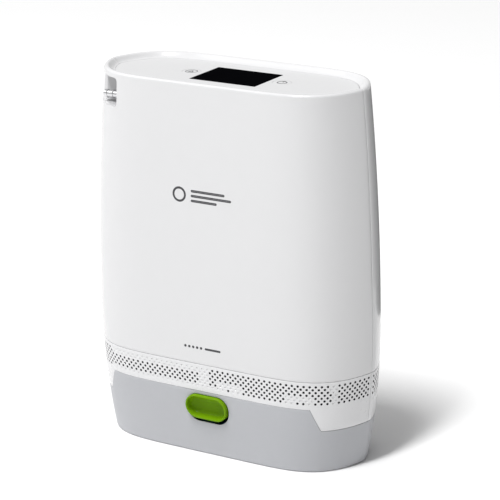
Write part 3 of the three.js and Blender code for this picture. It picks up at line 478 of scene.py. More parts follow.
class Finishes:
    """Every finish of the object, built when it is first asked for."""

    ALL = (
        Finish("gloss_white", (0.69, 0.69, 0.697), (0.672, 0.672, 0.68), 0.2, size=9, spread=0.5, coat=0.3,
               relief=0.012, grain=500, cells=0.1),
        Finish("band_white", (0.72, 0.72, 0.728), (0.7, 0.7, 0.708), 0.28, size=14, spread=0.5, coat=0.15,
               relief=0.02, grain=800, cells=0.2),
        Finish("panel_satin", (0.625, 0.625, 0.63), (0.607, 0.607, 0.613), 0.38, size=18, relief=0.05,
               grain=1800),
        # grey paint on the nozzle hollow's white lining: painted shade inside the hollow
        Finish("pocket_grey", (0.5, 0.5, 0.508), (0.46, 0.46, 0.468), 0.34, size=16, relief=0.04, grain=900),
        Finish("icon_grey", (0.1, 0.103, 0.107), (0.08, 0.083, 0.087), 0.5, size=80, relief=0.03),
        Finish("mark_ink", (0.045, 0.045, 0.05), (0.07, 0.07, 0.075), 0.42, size=90, relief=0.05),
        Finish("battery_grey", (0.45, 0.457, 0.478), (0.425, 0.432, 0.455), 0.42, haze=0.06, size=20,
               relief=0.09, grain=2400, cells=0.7),
        Finish("button_green", (0.15, 0.3, 0.003), (0.13, 0.27, 0.003), 0.22, size=30, relief=0.01,
               specular=0.07),
        Finish("window_black", (0.0015, 0.0015, 0.002), (0.003, 0.003, 0.0035), 0.14, haze=0.02, size=12,
               specular=0.0, relief=0.004, grain=300, cells=0.0),
        Finish("bright_nickel", (0.7, 0.7, 0.71), (0.6, 0.6, 0.61), 0.14, metallic=1, size=60, relief=0.02,
               lines=(4000, 90, 90)),
        Finish("turned_brass", (0.74, 0.54, 0.24), (0.62, 0.44, 0.19), 0.26, metallic=1, size=60,
               relief=0.05, lines=(2500, 90, 90)),
        Finish("drawn_steel", (0.5, 0.51, 0.52), (0.42, 0.43, 0.44), 0.32, metallic=1, size=45, relief=0.08,
               lines=(90, 2500, 90)),
        Finish("cast_alloy", (0.6, 0.61, 0.62), (0.5, 0.51, 0.53), 0.46, metallic=1, haze=0.14, size=50,
               relief=0.2, grain=1500, cells=0.8),
        Finish("drawn_alloy", (0.68, 0.69, 0.71), (0.58, 0.59, 0.61), 0.3, metallic=1, size=30, relief=0.08,
               lines=(90, 90, 2500)),
        Finish("moulded_black", (0.018, 0.018, 0.02), (0.028, 0.028, 0.03), 0.5, haze=0.12, size=45,
               relief=0.18, grain=2200, cells=0.7),
        Finish("board_green", (0.012, 0.11, 0.045), (0.008, 0.07, 0.03), 0.34, haze=0.1, size=160,
               spread=0.9, coat=0.3, relief=0.08, grain=700),
        # near-black paint for the walls and floor inside the band's open holes: painted shade
        Finish("vent_mesh", (0.035, 0.035, 0.038), (0.06, 0.06, 0.064), 0.9, size=700, spread=1,
               specular=0.2, relief=0.5, grain=2500, cells=1.0),
        Finish("mount_rubber", (0.02, 0.02, 0.021), (0.035, 0.035, 0.036), 0.82, size=60, relief=0.3,
               grain=1600),
        Finish("milky_silicone", (0.62, 0.65, 0.67), (0.55, 0.58, 0.6), 0.3, size=25, relief=0.04, soft=0.4),
        Finish("filter_foam", (0.045, 0.047, 0.05), (0.09, 0.093, 0.098), 0.95, haze=0.03, size=600,
               spread=1, relief=1.0, grain=900, cells=1.0),
        Finish("cell_sleeve", (0.03, 0.13, 0.34), (0.02, 0.1, 0.28), 0.28, size=35, coat=0.3, relief=0.05),
        Finish("label_film", (0.66, 0.67, 0.68), (0.62, 0.63, 0.64), 0.45, size=40, relief=0.04,
               grain=2500),
        Finish("studio_floor", (0.9, 0.9, 0.9), (0.885, 0.885, 0.885), 0.75, size=2, relief=0.02, grain=200),
    )

    def __init__(self) -> None:
        """Builds the shared groups and indexes the finishes by name."""
        self.groups = Groups()
        self.known = {finish.name: finish for finish in self.ALL}
        self.made: dict[str, bpy.types.Material] = {}

    def get(self, name: str) -> bpy.types.Material:
        """The material of a finish, made once.

        Args:
            name: The finish's name.

        Returns:
            Its material.
        """
        if name not in self.made:
            self.made[name] = self.known[name].build(self.groups)
        return self.made[name]


# ---------------------------------------------------------------- the body's form


@dataclass
class Form:
    """The body's outer form: a rounded oblong in plan, drawn in towards the top and the foot.

    Lengths are in millimetres. A place on a half is (s, z): s runs along the plan from the middle of that
    half, towards +X, and z is the height.
    """

    height: float
    half_width: float = 105.5
    half_depth: float = 45.5
    widest: float = 89.0
    top_taper: tuple[float, float] = (7.6, 5.3)
    foot_taper: tuple[float, float] = (8.1, 4.8)
    power: tuple[float, float] = (6.3, 1.36)
    seam_y: float = -3.0
    samples: int = 6001
    plan_step: float = 2.0
    level_step: float = 3.0
    table: dict[Half, np.ndarray] = field(default_factory=dict)

    def __post_init__(self) -> None:
        """Measures each half of the plan once, at the widest level."""
        for half in Half:
            edge = math.asin((abs(self.seam_y) / self.half_depth) ** (self.power[1] / 2))
            over = edge if half is Half.REAR else -edge
            turn = np.linspace(-math.pi - over, over, self.samples)
            x = np.sign(np.cos(turn)) * np.abs(np.cos(turn)) ** (2 / self.power[0])
            y = np.sign(np.sin(turn)) * np.abs(np.sin(turn)) ** (2 / self.power[1])
            if half is Half.REAR:
                y = -y
            steps = np.hypot(np.diff(x * self.half_width), np.diff(y * self.half_depth))
            s = np.concatenate([[0], np.cumsum(steps)])
            self.table[half] = np.stack([s - s[-1] / 2, x, y])

    def reach(self, half: Half) -> float:
        """Half the length of a half's plan, from its middle to the seam."""
        return float(self.table[half][0, -1])

    def wide(self, z: np.ndarray) -> np.ndarray:
        """Half the width at a height."""
        return self.drawn(z, self.half_width, 0)

    def deep(self, z: np.ndarray) -> np.ndarray:
        """Half the depth at a height."""
        return self.drawn(z, self.half_depth, 1)

    def drawn(self, z: np.ndarray, most: float, axis: int) -> np.ndarray:
        """Half an extent at a height.

        Args:
            z: Heights.
            most: The half extent at the widest level.
            axis: 0 for the width and 1 for the depth.

        Returns:
            The half extents.
        """
        above = (z - self.widest) / (self.height - self.widest)
        below = (self.widest - z) / self.widest
        top, foot = self.top_taper[axis] * above**2, self.foot_taper[axis] * below**2
        return most - np.where(z > self.widest, top, foot)

    def points(self, half: Half, s: np.ndarray, z: np.ndarray, inset: np.ndarray) -> np.ndarray:
        """Places on the form, or inside it by an inset.

        Args:
            half: The half they lie on.
            s: Lengths along the plan.
            z: Heights.
            inset: How far inside the form they lie.

        Returns:
            Rows of X, Y and Z in millimetres.
        """
        table = self.table[half]
        x, y = np.interp(s, table[0], table[1]), np.interp(s, table[0], table[2])
        z = np.asarray(z, float)
        return np.stack([(self.wide(z) - inset) * x, (self.deep(z) - inset) * y, z + 0 * x], axis=-1)

    def outline(self, z: float, inset: float) -> list[tuple[float, float]]:
        """The whole plan at a height, drawn in by an inset, as (x, y) pairs.

        Args:
            z: The height.
            inset: How far it is drawn in.

        Returns:
            The outline, closed.
        """
        ring = []
        for half, way in ((Half.FRONT, 1), (Half.REAR, -1)):
            reach = self.reach(half)
            s = lines(-reach, reach, self.plan_step, [])[::way][:-1]
            spots = self.points(half, s, np.full(len(s), z), np.full(len(s), inset))
            ring.extend((float(x), float(y)) for x, y, _ in spots)
        return ring

    def solid(self, name: str, low: float, high: float, inset: float) -> bpy.types.Object:
        """The form between two heights as a solid object, drawn in by an inset.

        Args:
            name: The object's name.
            low: Its foot.
            high: Its top.
            inset: How far it is drawn in.

        Returns:
            The object.
        """
        bm = bmesh.new()
        levels = lines(low, high, self.level_step, [])
        stack(bm, [[Vector((x, y, z)) for x, y in self.outline(z, inset)] for z in levels])
        return object_of(name, bm)

    def along(self, half: Half, x: float, z: float) -> float:
        """The length along the plan at which a half has a given X at a height."""
        table = self.table[half]
        return float(np.interp(x / float(self.wide(np.array(z))), table[1], table[0]))


@dataclass(frozen=True)
class Opening:
    """A round-cornered opening in a skin, given in that half's (s, z).

    lip is the rounding of its outer edge, margin the ring of wall that is rebuilt round it, and draft how
    much wider it is at the wall's inner face.
    """

    s: float
    z: float
    half_s: float
    half_z: float
    corner: float
    lip: float = 0.5
    margin: float = 2.0
    draft: float = 0.0

    def shifted(self, s: float, z: float, grow: float) -> tuple[float, float]:
        """The place nearest to (s, z) on the outline grown by a distance.

        Args:
            s: Length along the plan.
            z: Height.
            grow: How far outside the opening's edge.

        Returns:
            The place on that outline.
        """
        flat_s, flat_z = self.half_s - self.corner, self.half_z - self.corner
        core_s = min(max(s - self.s, -flat_s), flat_s)
        core_z = min(max(z - self.z, -flat_z), flat_z)
        away = Vector((s - self.s - core_s, z - self.z - core_z)).normalized() * (self.corner + grow)
        return self.s + core_s + away.x, self.z + core_z + away.y


def lines(low: float, high: float, step: float, needed: list[float]) -> np.ndarray:
    """Positions from low to high about a step apart, with the needed ones exact.

    Args:
        low: The first position.
        high: The last position.
        step: The usual spacing.
        needed: Positions that must be there.

    Returns:
        The sorted positions.
    """
    exact = sorted({low, high, *(value for value in needed if low < value < high)})
    rows = [exact[0]]
    for start, end in zip(exact, exact[1:]):
        count = max(1, round((end - start) / step))
        rows.extend(start + (end - start) * i / count for i in range(1, count + 1))
    return np.array(rows)


@dataclass
class Skin:
    """A closed wall that follows the form: an outer face, its edges and an inner face.

    seam_round is the rounding of its two upright edges, and capped says whether they are closed.
    """

    form: Form
    half: Half
    columns: np.ndarray
    seam_round: float = 0.35
    capped: bool = True

    def softened(self, s: float) -> float:
        """The extra inset that rounds the wall's edge at the seam.

        Args:
            s: Length along the plan.

        Returns:
            The inset.
        """
        room = min(s - self.columns[0], self.columns[-1] - s)
        if room >= self.seam_round or not self.capped:
            return 0.0
        return self.seam_round - math.sqrt(self.seam_round**2 - (self.seam_round - room) ** 2)

    def build(
        self, name: str, outer: list, crown: list, inner: list, openings: list[Opening]
    ) -> bmesh.types.BMesh:
        """Makes the wall.

        Args:
            name: What it is, for the log.
            outer: (z, inset) pairs, or functions of s that give one, from the foot up.
            crown: The same, over the top edge to the inner face.
            inner: The same, from the top down; its last entries match the first of outer.
            openings: Openings through both faces.

        Returns:
            The mesh.
        """
        bm = bmesh.new()
        loop = outer + crown + inner
        shown = len(outer) + len(crown)
        grid: list[list[bmesh.types.BMVert]] = []
        flat: list[list[tuple[float, float, float]]] = []
        for s in self.columns:
            spots = [entry(s) if callable(entry) else entry for entry in loop]
            soft = self.softened(s)
            insets = [inset + (soft if k < shown else 0) for k, (_, inset) in enumerate(spots)]
            heights = np.array([z for z, _ in spots])
            places = self.form.points(self.half, np.full(len(spots), s), heights, np.array(insets))
            grid.append([bm.verts.new(Vector(p) * MM) for p in places])
            flat.append([(s, z, i) for z, i in zip(heights, insets)])
        taken: set[tuple[int, int]] = set()
        for opening in openings:
            taken |= self.pierce(bm, grid, flat, opening, len(outer), len(loop))
        count = len(loop)
        for i in range(len(self.columns) - 1):
            for k in range(count):
                if (i, k) in taken:
                    continue
                following = (k + 1) % count
                bm.faces.new((grid[i][k], grid[i + 1][k], grid[i + 1][following], grid[i][following]))
        if self.capped:
            bm.faces.new(grid[0])
            bm.faces.new(grid[-1])
        log.info("%s: %d columns by %d rows", name, len(self.columns), count)
        return bm

    def pierce(
        self, bm: bmesh.types.BMesh, grid: list, flat: list, opening: Opening, outer: int, count: int
    ) -> set[tuple[int, int]]:
        """Cuts an opening through the wall, with a rounded lip outside.

        Args:
            bm: The mesh.
            grid: Its vertices by column and row.
            flat: Their (s, z, inset).
            opening: The opening.
            outer: How many rows the outer face has.
            count: How many rows there are in all.

        Returns:
            The (column, row) pairs of the quads that the opening takes away.
        """
        wide, tall = opening.half_s + opening.margin, opening.half_z + opening.margin
        first = int(np.searchsorted(self.columns, opening.s - wide, side="right")) - 1
        last = int(np.searchsorted(self.columns, opening.s + wide))
        middle = flat[(first + last) // 2]
        heights = np.array([spot[1] for spot in middle])
        low = int(np.searchsorted(heights[:outer], opening.z - tall, side="right")) - 1
        high = int(np.searchsorted(heights[:outer], opening.z + tall))
        behind = heights[::-1][: count - outer]
        back = {k: count - 1 - int(np.argmin(np.abs(behind - heights[k]))) for k in (low, high)}
        taken = {(i, k) for i in range(first, last) for k in range(low, high)}
        taken |= {(i, k) for i in range(first, last) for k in range(back[high], back[low])}

        def border(bottom: int, top: int) -> list[tuple[int, int]]:
            """The grid's places round the opening, between two rows."""
            step = 1 if top > bottom else -1
            rows = list(range(bottom, top, step))
            walk = [(i, bottom) for i in range(first, last)] + [(last, k) for k in rows]
            walk += [(i, top) for i in range(last, first, -1)]
            return walk + [(first, k) for k in range(top, bottom, -step)]

        outside = [(grid[i][k], flat[i][k]) for i, k in border(low, high)]
        inside = [(grid[i][k], flat[i][k]) for i, k in border(back[low], back[high])]
        wall = inside[0][1][2]
        rings = [[vert for vert, _ in outside]]
        steps = [(share, opening.lip, 0.0) for share in (0.4, 0.75)]
        turns = [(1 - math.sin(a), 1 - math.cos(a)) for a in quarter(4)]
        steps += [(1.0, opening.lip * away, opening.lip * depth) for away, depth in turns]
        for share, grow, inset in steps:
            ring = []
            for _, (s, z, base) in outside:
                edge = opening.shifted(s, z, grow)
                spot = (s + (edge[0] - s) * share, z + (edge[1] - z) * share)
                ring.append(self.vertex(bm, *spot, inset))
            rings.append(ring)
        deepest = [opening.shifted(s, z, opening.draft) for _, (s, z, _) in outside]
        rings.append([self.vertex(bm, *place, wall) for place in deepest])
        for near, far in zip(rings, rings[1:]):
            bridge(bm, near, far)
        self.zip_rings(bm, rings[-1], [vert for vert, _ in inside])
        return taken

    def vertex(self, bm: bmesh.types.BMesh, s: float, z: float, inset: float) -> bmesh.types.BMVert:
        """Adds one vertex at a place on the form."""
        place = self.form.points(self.half, np.array([s]), np.array([z]), np.array([inset]))[0]
        return bm.verts.new(Vector(place) * MM)

    @staticmethod
    def zip_rings(bm: bmesh.types.BMesh, one: list, other: list) -> None:
        """Joins two closed rings with different numbers of vertices by triangles, nearest first.

        Args:
            bm: The mesh.
            one: The first ring.
            other: The second ring, which starts near the first one's start and goes the same way.
        """
        i = j = 0
        while i < len(one) or j < len(other):
            a, b = one[i % len(one)], other[j % len(other)]
            next_a, next_b = one[(i + 1) % len(one)], other[(j + 1) % len(other)]
            step_one = j >= len(other) or (
                i < len(one) and (next_a.co - b.co).length <= (a.co - next_b.co).length
            )
            if step_one:
                bm.faces.new((a, next_a, b))
                i += 1
            else:
                bm.faces.new((a, next_b, b))
                j += 1


@dataclass(frozen=True)
class Placed:
    """Where a finished piece belongs: its body, finish, material slot and the CAD nodes it stands for."""

    body: str
    slot: str
    finish: str
    nodes: tuple[str, ...] = ()


def dress(piece: bpy.types.Object, placed: Placed, finishes: Finishes) -> None:
    """Gives a piece its finish and ties it to the frame.

    Args:
        piece: The piece, in its place.
        placed: Where it belongs.
        finishes: The finishes to take from.
    """
    if not piece.data.materials:
        piece.data.materials.append(finishes.get(placed.finish))
    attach(piece, placed.body)
    if placed.nodes:
        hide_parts(*placed.nodes)
    log.info("%s: %d faces on %s", piece.name, len(piece.data.polygons), placed.body)


def carve(piece: bpy.types.Object, cutter: bpy.types.Object, operation: str = "DIFFERENCE") -> None:
    """Cuts a piece with another, which is then removed.

    Args:
        piece: The piece to cut.
        cutter: The cutting solid.
        operation: The boolean operation.
    """
    modifier = piece.modifiers.new("cut", "BOOLEAN")
    modifier.operation = operation
    modifier.solver = "EXACT"
    modifier.object = cutter
    finished(piece)
    mesh = cutter.data
    bpy.data.objects.remove(cutter)
    bpy.data.meshes.remove(mesh)


def shade(piece: bpy.types.Object, sharp: float = SHARP) -> None:
    """Shades a piece smooth, with its edges above an angle in degrees left sharp."""
    piece.data.shade_smooth()
    piece.data.set_sharp_from_angle(angle=math.radians(sharp))


def soften(
    piece: bpy.types.Object, width: float, angle: float = 40.0, segments: int = 2, broad: float = 6.0
) -> None:
    """Rounds a piece's sharp edges and keeps its broad faces truly flat.

    Args:
        piece: The piece.
        width: Width of the rounding in millimetres.
        angle: Angle in degrees above which an edge is rounded.
        segments: Facets across the rounding.
        broad: Side in millimetres of the smallest square that counts as a broad face.
    """
    modifier = piece.modifiers.new("round", "BEVEL")
    modifier.width = width * MM
    modifier.segments = segments
    modifier.limit_method = "ANGLE"
    modifier.angle_limit = math.radians(angle)
    modifier.use_clamp_overlap = True
    finished(piece)
    shade(piece)
    for face in piece.data.polygons:
        face.use_smooth = face.area < (broad * MM) ** 2


def stack(bm: bmesh.types.BMesh, rings: list[list[Vector]]) -> None:
    """Adds a solid made of stacked outlines, closed at both ends.

    Args:
        bm: The mesh to add to.
        rings: Outlines of equal length, in millimetres.
    """
    loops = [[bm.verts.new(spot * MM) for spot in ring] for ring in rings]
    for low, high in zip(loops, loops[1:]):
        bridge(bm, low, high)
    bm.faces.new(loops[0])
    bm.faces.new(loops[-1])


def block(name: str, low: Point, high: Point, soft: float) -> bpy.types.Object:
    """A box with rounded edges.

    Args:
        name: Its name.
        low: Its lowest corner in millimetres.
        high: Its highest corner.
        soft: Width of the edge rounding.

    Returns:
        The object.
    """
    bm = bmesh.new()
    ring = [(low[0], low[1]), (high[0], low[1]), (high[0], high[1]), (low[0], high[1])]
    stack(bm, [[Vector((x, y, z)) for x, y in ring] for z in (low[2], high[2])])
    piece = object_of(name, bm)
    if soft:
        soften(piece, soft)
    return piece


def joined(name: str, pieces: list[bpy.types.Object]) -> bpy.types.Object:
    """Puts several pieces' meshes into one object, with their materials.

    Args:
        name: The new object's name.
        pieces: The pieces, which are removed.

    Returns:
        The new object.
    """
    materials = list(dict.fromkeys(m for piece in pieces for m in piece.data.materials if m))
    bm = bmesh.new()
    for piece in pieces:
        own = list(piece.data.materials)
        index = {i: materials.index(material) for i, material in enumerate(own) if material}
        start = len(bm.faces)
        bm.from_mesh(piece.data)
        bm.faces.ensure_lookup_table()
        for face in bm.faces[start:]:
            face.material_index = index.get(face.material_index, 0)
        mesh = piece.data
        bpy.data.objects.remove(piece)
        bpy.data.meshes.remove(mesh)
    made = object_of(name, bm, recalc=False)
    for material in materials:
        made.data.materials.append(material)
    return made


# ---------------------------------------------------------------- scattering with Geometry Nodes


@dataclass(frozen=True)
class Scatter:
    """A Geometry Nodes tree that puts one of some shapes on each point, in a fixed order.

    Each point carries a whole number "kind", which picks the shape, and a rotation "turn". A face that a
    shape flags for painted shade gets the second material, the near-black shade inside the band's holes.
    """

    name: str
    shapes: tuple[bpy.types.Object, ...]
    finish: bpy.types.Material
    backing: bpy.types.Material
    scale: float = 1.0
    weld: float = 0.0

    def tree(self) -> bpy.types.NodeTree:
        """Builds the tree.

        Returns:
            The tree, with inputs Geometry, Scale, Weld, Finish and the painted-shade material.
        """
        tree = bpy.data.node_groups.new(self.name, "GeometryNodeTree")
        face = tree.interface
        face.new_socket(name="Geometry", in_out="INPUT", socket_type="NodeSocketGeometry")
        for label in ("Scale", "Weld"):
            face.new_socket(name=label, in_out="INPUT", socket_type="NodeSocketFloat")
        for label in ("Finish", "Backing"):
            face.new_socket(name=label, in_out="INPUT", socket_type="NodeSocketMaterial")
        face.new_socket(name="Geometry", in_out="OUTPUT", socket_type="NodeSocketGeometry")
        wire = Wiring(tree)
        start, end = wire.add("NodeGroupInput"), wire.add("NodeGroupOutput")
        shapes = wire.add("GeometryNodeGeometryToInstance")
        for shape in reversed(self.shapes):
            info = wire.add("GeometryNodeObjectInfo")
            info.inputs["Object"].default_value = shape
            tree.links.new(info.outputs["Geometry"], shapes.inputs[0])
        kind = wire.add("GeometryNodeInputNamedAttribute", {"Name": "kind"}, data_type="INT")
        turn = wire.add("GeometryNodeInputNamedAttribute", {"Name": "turn"}, data_type="QUATERNION")
        values = {"Points": start.outputs["Geometry"], "Instance": shapes.outputs[0], "Pick Instance": True}
        values |= {"Instance Index": kind.outputs[0], "Rotation": turn.outputs[0]}
        values |= {"Scale": start.outputs["Scale"]}
        spread = wire.add("GeometryNodeInstanceOnPoints", values)
        real = wire.add("GeometryNodeRealizeInstances", {"Geometry": spread.outputs[0]})
        values = {"Geometry": real.outputs[0], "Distance": start.outputs["Weld"]}
        weld = wire.add("GeometryNodeMergeByDistance", values)
        values = {"Geometry": weld.outputs[0], "Material": start.outputs["Finish"]}
        dressed = wire.add("GeometryNodeSetMaterial", values)
        # faces flagged on a shape take the second material, which paints the shade inside the holes
        shade_flagged = wire.add("GeometryNodeInputNamedAttribute", {"Name": "backing"}, data_type="BOOLEAN")
        values = {"Geometry": dressed.outputs[0], "Material": start.outputs["Backing"]}
        shade_painted = wire.add("GeometryNodeSetMaterial", values | {"Selection": shade_flagged.outputs[0]})
        tree.links.new(shade_painted.outputs[0], end.inputs[0])
        return tree

    def build(self, spots: list[Vector], kinds: list[int], turns: list) -> bpy.types.Object:
        """Places the shapes.

        Args:
            spots: The points, in millimetres.
            kinds: The shape's index for each point.
            turns: The rotation of each, a quaternion.

        Returns:
            An object with a plain mesh.
        """
        mesh = bpy.data.meshes.new(self.name)
        mesh.from_pydata([spot * MM for spot in spots], [], [])
        kind = mesh.attributes.new("kind", "INT", "POINT")
        kind.data.foreach_set("value", kinds)
        turn = mesh.attributes.new("turn", "QUATERNION", "POINT")
        turn.data.foreach_set("value", [part for one in turns for part in one])
        piece = link(self.name, mesh)
        modifier = piece.modifiers.new("scatter", "NODES")
        modifier.node_group = self.tree()
        values = {"Scale": self.scale, "Weld": self.weld, "Finish": self.finish, "Backing": self.backing}
        for item in modifier.node_group.interface.items_tree:
            if item.in_out == "INPUT" and item.name in values:
                modifier[item.identifier] = values[item.name]
        finished(piece)
        for shape in self.shapes:
            data = shape.data
            bpy.data.objects.remove(shape)
            bpy.data.meshes.remove(data)
        return piece


# ---------------------------------------------------------------- sub-assemblies


# Turned profiles as (radius, depth below the outer face), in millimetres.
PIN_PROFILE = ((0, 3.0), (0.6, 3.05), (1.0, 3.4), (1.1, 3.9), (1.1, 9.6), (0, 9.6))
SCREW_PROFILE = ((0, 5.2), (1.5, 5.2), (1.5, 3.4), (3.1, 3.2), (3.1, 1.6), (2.7, 1.2), (1.7, 1.15))
# The screw recess's levels as (depth, growth), and its lobes as (radius, swell, count).
SCREW_RECESS = ((1.2, 1.0), (2.4, 0.92))
SCREW_LOBES = (1.2, 0.28, 6)
# Where the front band's holes are open, as (from X, to X, rows counted from the top).
OPEN_ROWS = (
    (-200, -79.5, range(1, 8)),
    (-79.5, -4.5, range(3, 7)),
    (-4.5, 2.3, range(0)),
    (2.3, 6.7, range(1, 7)),
    (6.7, 29.5, range(1, 5)),
    (29.5, 61.5, range(1, 8)),
    (61.5, 79.5, range(1, 5)),
    (79.5, 89.5, range(1, 8)),
    (89.5, 92.9, range(0)),
    (92.9, 200, range(1, 8)),
)
LONE_HOLES = ((7.8, 6), (18.0, 7), (70.0, 7), (74.0, 7))  # open holes among the dimples, as (X, row)
# The release button's section inside its rim, as (distance from its edge, drop below its crest).
BUTTON_SLOPE = ((1.0, 0.02), (1.25, 0.14), (1.45, 0.5), (1.7, 2.0), (2.0, 3.4), (2.6, 4.7))
BUTTON_FLOOR = (3.4, 4.4, 5.6, 7.0, 8.2)  # distances from its edge of the dish's rings
MARK_BARS = ((2.4, 26), (-0.9, 31), (-4.2, 20))  # the front mark's bars as (foot, length)


@dataclass
class Pocket:
    """The scooped hollow at the top of the left front corner, and the barbed nozzle in it.

    liner is the lining's thickness, below and within its reach under and inside the form, and seat how far
    the nozzle's flange lies outside the pocket's wall.
    """

    form: Form
    finishes: Finishes
    corner: tuple[float, float] = (-69.1, -13.5)
    low: float = 234.5
    high: float = 253.9
    edge: float = 2.4
    roof: float = 254.2
    liner: float = 1.6
    power: float = 6.0
    sides: int = 96
    axis: tuple[float, float] = (-25.0, 239.6)
    barb: float = 2.95
    waist: float = 2.6
    flange: float = 4.2
    collar: float = 1.4
    reach: float = 15.5
    seat: float = 2.3
    bore: float = 1.2
    below: float = 8.0
    within: float = 2.3
    barbs: int = 3
    root: float = 6.0
    under: float = 0.2
    ease: float = 0.3
    tip: float = 0.1
    tight: float = 0.12
    weld: float = 0.01

    def solid(self, name: str, margin: float) -> bpy.types.Object:
        """The hollow as a solid, grown by a margin.

        Args:
            name: The object's name.
            margin: How far it is grown.

        Returns:
            The object.
        """
        wide = self.form.half_width + self.corner[0] + margin
        deep = self.form.half_depth + self.corner[1] + margin
        soft = self.edge + margin
        low, high = self.low - margin, self.high + margin
        turns = [(1 - math.sin(a), 1 - math.cos(a)) for a in quarter(8)]
        profile = [(1 - away * soft / wide, low + rise * soft) for away, rise in turns]
        profile += [(1 - rise * soft / wide, high - away * soft) for away, rise in turns]
        middle = Vector((-self.form.half_width, -self.form.half_depth, 0))
        rings = []
        for radius, z in profile:
            ring = []
            for i in range(self.sides):
                turn = 2 * math.pi * i / self.sides
                c, s = math.cos(turn), math.sin(turn)
                square = (abs(c) ** self.power + abs(s) ** self.power) ** (-1 / self.power) * radius
                ring.append(Vector((c * square * wide, s * square * deep, z)) + middle)
            rings.append(ring)
        bm = bmesh.new()
        stack(bm, rings)
        return object_of(name, bm)

    def build(self) -> None:
        """Builds the pocket's lining and the nozzle with its flange and barbs."""
        lining = self.solid("pocket_lining", self.liner)
        body = self.form.solid("pocket_body", self.low - self.below, self.roof, self.within)
        carve(lining, body, "INTERSECT")
        carve(lining, self.solid("pocket_hollow", 0.0))
        shade(lining)
        # the lining is the shell's white plastic; its grey finish is painted shade inside the hollow
        dress(lining, Placed("main_unit", "white_shell", "pocket_grey", ("nozzle_pocket",)), self.finishes)
        spot = Vector((self.corner[0] - self.seat, *self.axis))
        bm = bmesh.new()
        lathe(bm, self.nozzle_outline(), facing(Vector((-1, 0, 0)), spot), 64)
        bmesh.ops.remove_doubles(bm, verts=bm.verts, dist=self.weld * MM)
        nozzle = object_of("barbed_nozzle", bm, sharp=28)
        dress(nozzle, Placed("main_unit", "nickel", "bright_nickel", ("outlet_nozzle",)), self.finishes)

    def nozzle_outline(self) -> list[tuple[float, float]]:
        """The nozzle's closed turned outline: shank, flange, barbs and bore.

        Returns:
            (radius, distance out of the pocket's wall) pairs.
        """
        waist, barb, ease, tip = self.waist, self.barb, self.ease, self.tip
        outline = [(self.bore, -self.root), (waist, -self.root), (waist, -self.under)]
        outline += [(self.flange - ease, -self.under), (self.flange, tip), (self.flange, self.collar - ease)]
        outline += [(self.flange - ease, self.collar), (waist + ease, self.collar)]
        teeth = [(waist, 0.25), (waist, 0.4), (barb - self.tight, 0.41), (barb, 0.45)]
        teeth += [(barb - tip, 0.52), (waist + tip, 0.98)]
        pitch = (self.reach - self.collar) / self.barbs
        for i in range(self.barbs):
            outline += [(radius, self.collar + (i + share) * pitch) for radius, share in teeth]
        outline += [(self.bore + tip, self.reach), (self.bore, self.reach - tip)]
        return outline + [(self.bore, -self.root)]


